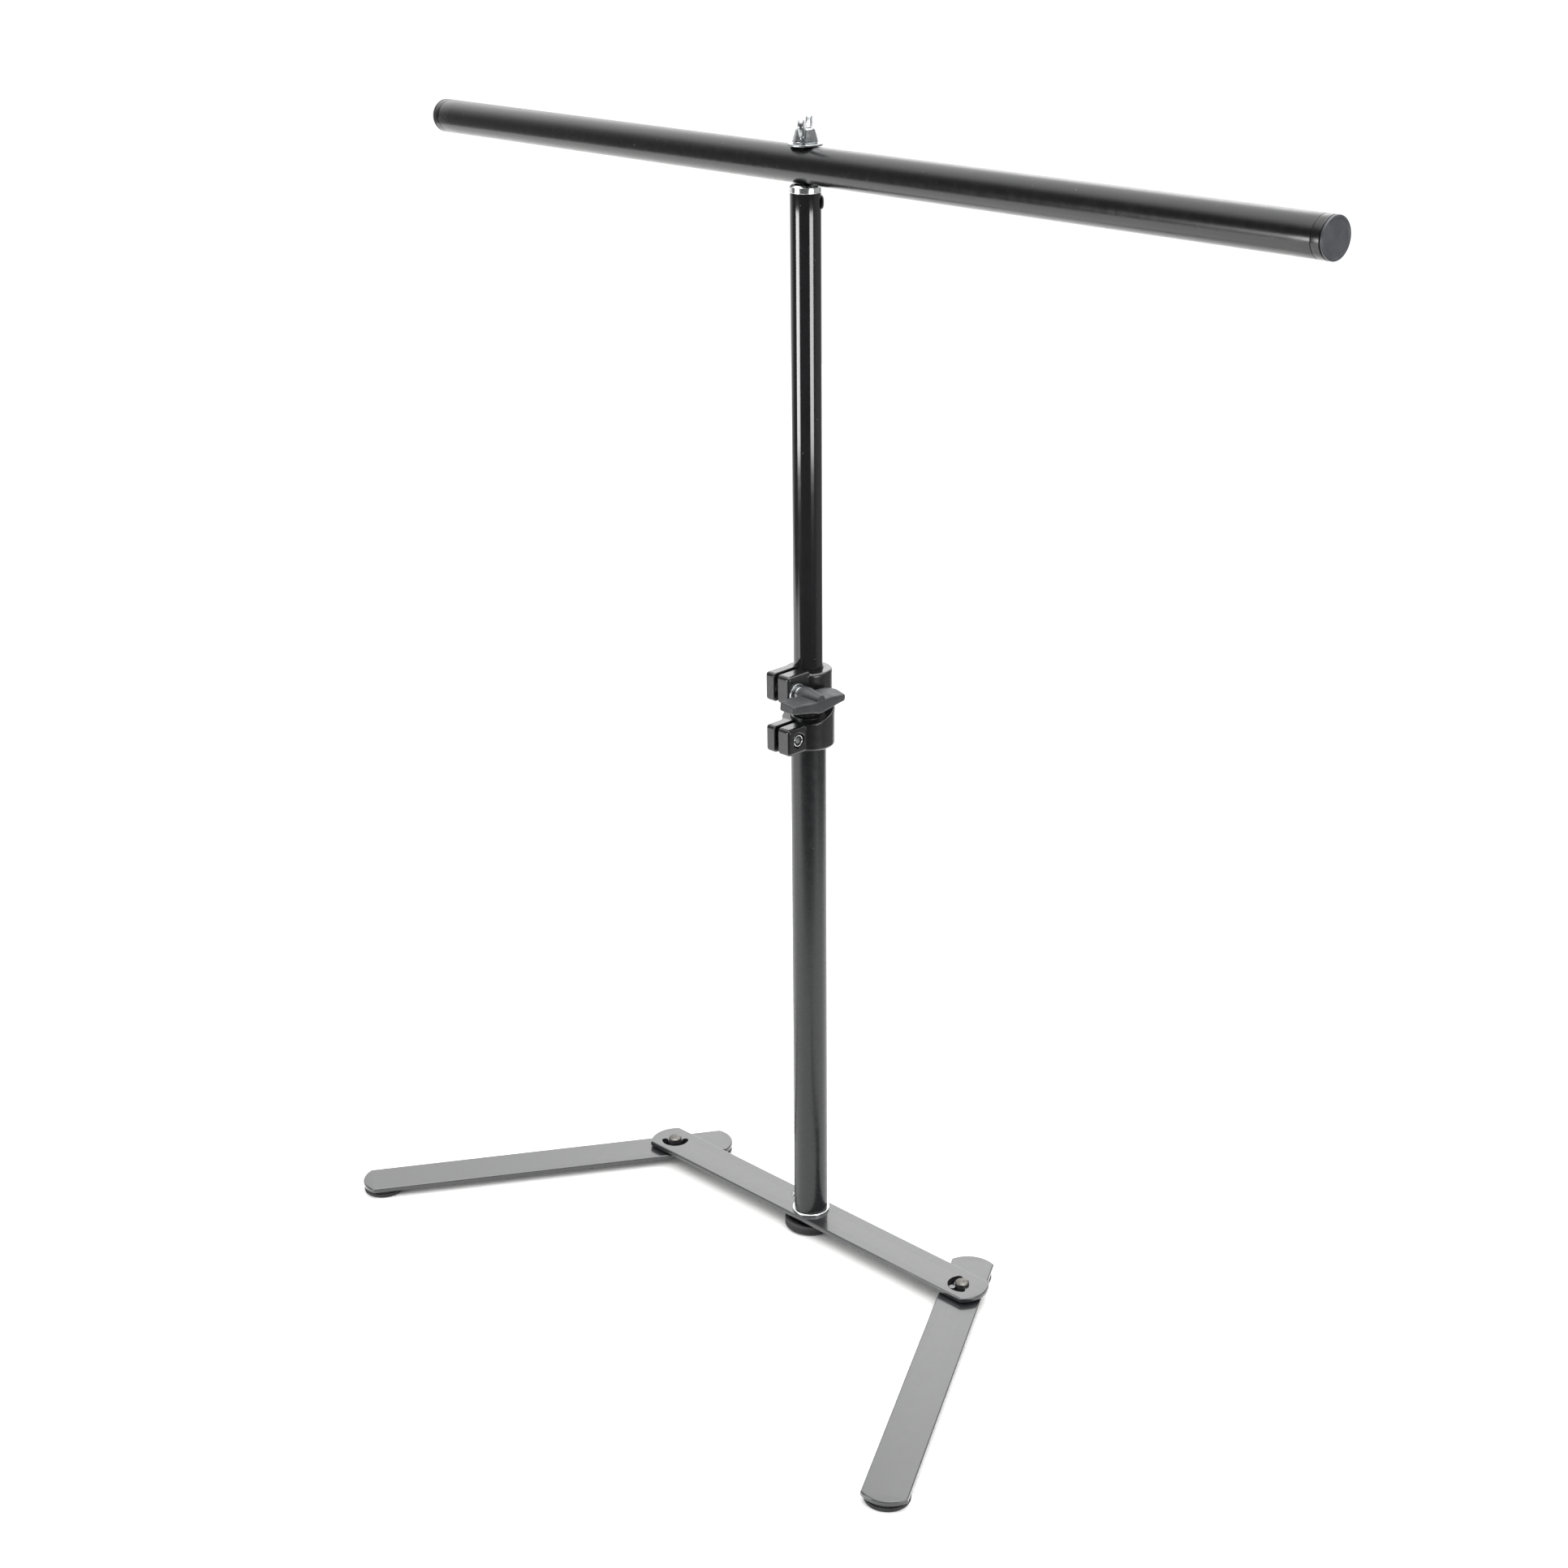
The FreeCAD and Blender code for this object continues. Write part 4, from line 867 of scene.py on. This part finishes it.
def soft_box(name, swing, radiance):
    """Area light swing degrees to the right of the camera and BOX_REACH from the mast, as
    high as its middle; its power is its radiance times pi times its area."""
    aim = np.array([0.0, 0.0, 0.28])
    swing = math.radians(swing)
    at = aim + BOX_REACH * (RIGHT * math.sin(swing) - AWAY * math.cos(swing))
    light = bpy.data.lights.new(name, "AREA")
    light.shape = "RECTANGLE"
    light.size, light.size_y = BOX_SIZE
    light.energy = radiance * math.pi * BOX_SIZE[0] * BOX_SIZE[1]
    obj = bpy.data.objects.new(name, light)
    z = (at - aim) / np.linalg.norm(at - aim)
    x = np.cross((0, 0, 1), z)
    x /= np.linalg.norm(x)
    stand_at(obj, x, np.cross(z, x), z, at)
    obj.visible_camera = False


def camera():
    """Camera from its azimuth, elevation and roll in degrees, its focal length and the
    place of the origin in a square frame of the given width, and the distance to the
    origin in metres."""
    frame_width, focal = 1932, 2989.3
    azimuth, elevation, roll = 44.676, 21.302, -0.532
    origin_x, origin_y, distance = 999.404, 1507.225, 1.48388
    az, el, ro = [math.radians(v) for v in (azimuth, elevation, roll)]
    back = np.array([math.sin(az) * math.cos(el), -math.cos(az) * math.cos(el), math.sin(el)])
    right = np.cross(-back, (0, 0, 1))
    right /= np.linalg.norm(right)
    up = np.cross(right, -back)
    x = right * math.cos(ro) + up * math.sin(ro)
    y = -right * math.sin(ro) + up * math.cos(ro)
    middle = frame_width / 2
    across, down = (origin_x - middle) / focal, (origin_y - middle) / focal
    place = (-across * x + down * y + back) * distance
    data = bpy.data.cameras.new("camera")
    data.sensor_width = 36
    data.lens = focal / frame_width * data.sensor_width
    data.clip_end = 50
    obj = bpy.data.objects.new("camera", data)
    stand_at(obj, x, y, back, place)
    bpy.context.scene.camera = obj


# ---------------------------------------------------------------- the stand and its stage

paint_frame()
mast_tubes()
crossbar_tube()
for side, sign in (("left", -1), ("right", 1)):
    crossbar_end(side, sign)
top_collar()
crossbar_stud()
wing_nut()
clamp_moulding()
clamp_handle()
handle_screw()
lock_screw()
mast_foot()
base_knob()
for side, sign in (("left", -1), ("right", 1)):
    leg_pivot(side, sign)
    rubber_foot(side, sign, "front", LEG_OUT - FOOT_INSET)
    rubber_foot(side, sign, "rear", FOOT_INSET - LEG_BACK)

floor_piece()
studio()
camera()
# Two soft boxes either side of the camera draw the two long highlights on the mast.
soft_box("left_strip", -64, 14)
soft_box("right_strip", 40, 10.5)
bpy.context.scene.view_settings.view_transform = "Standard"
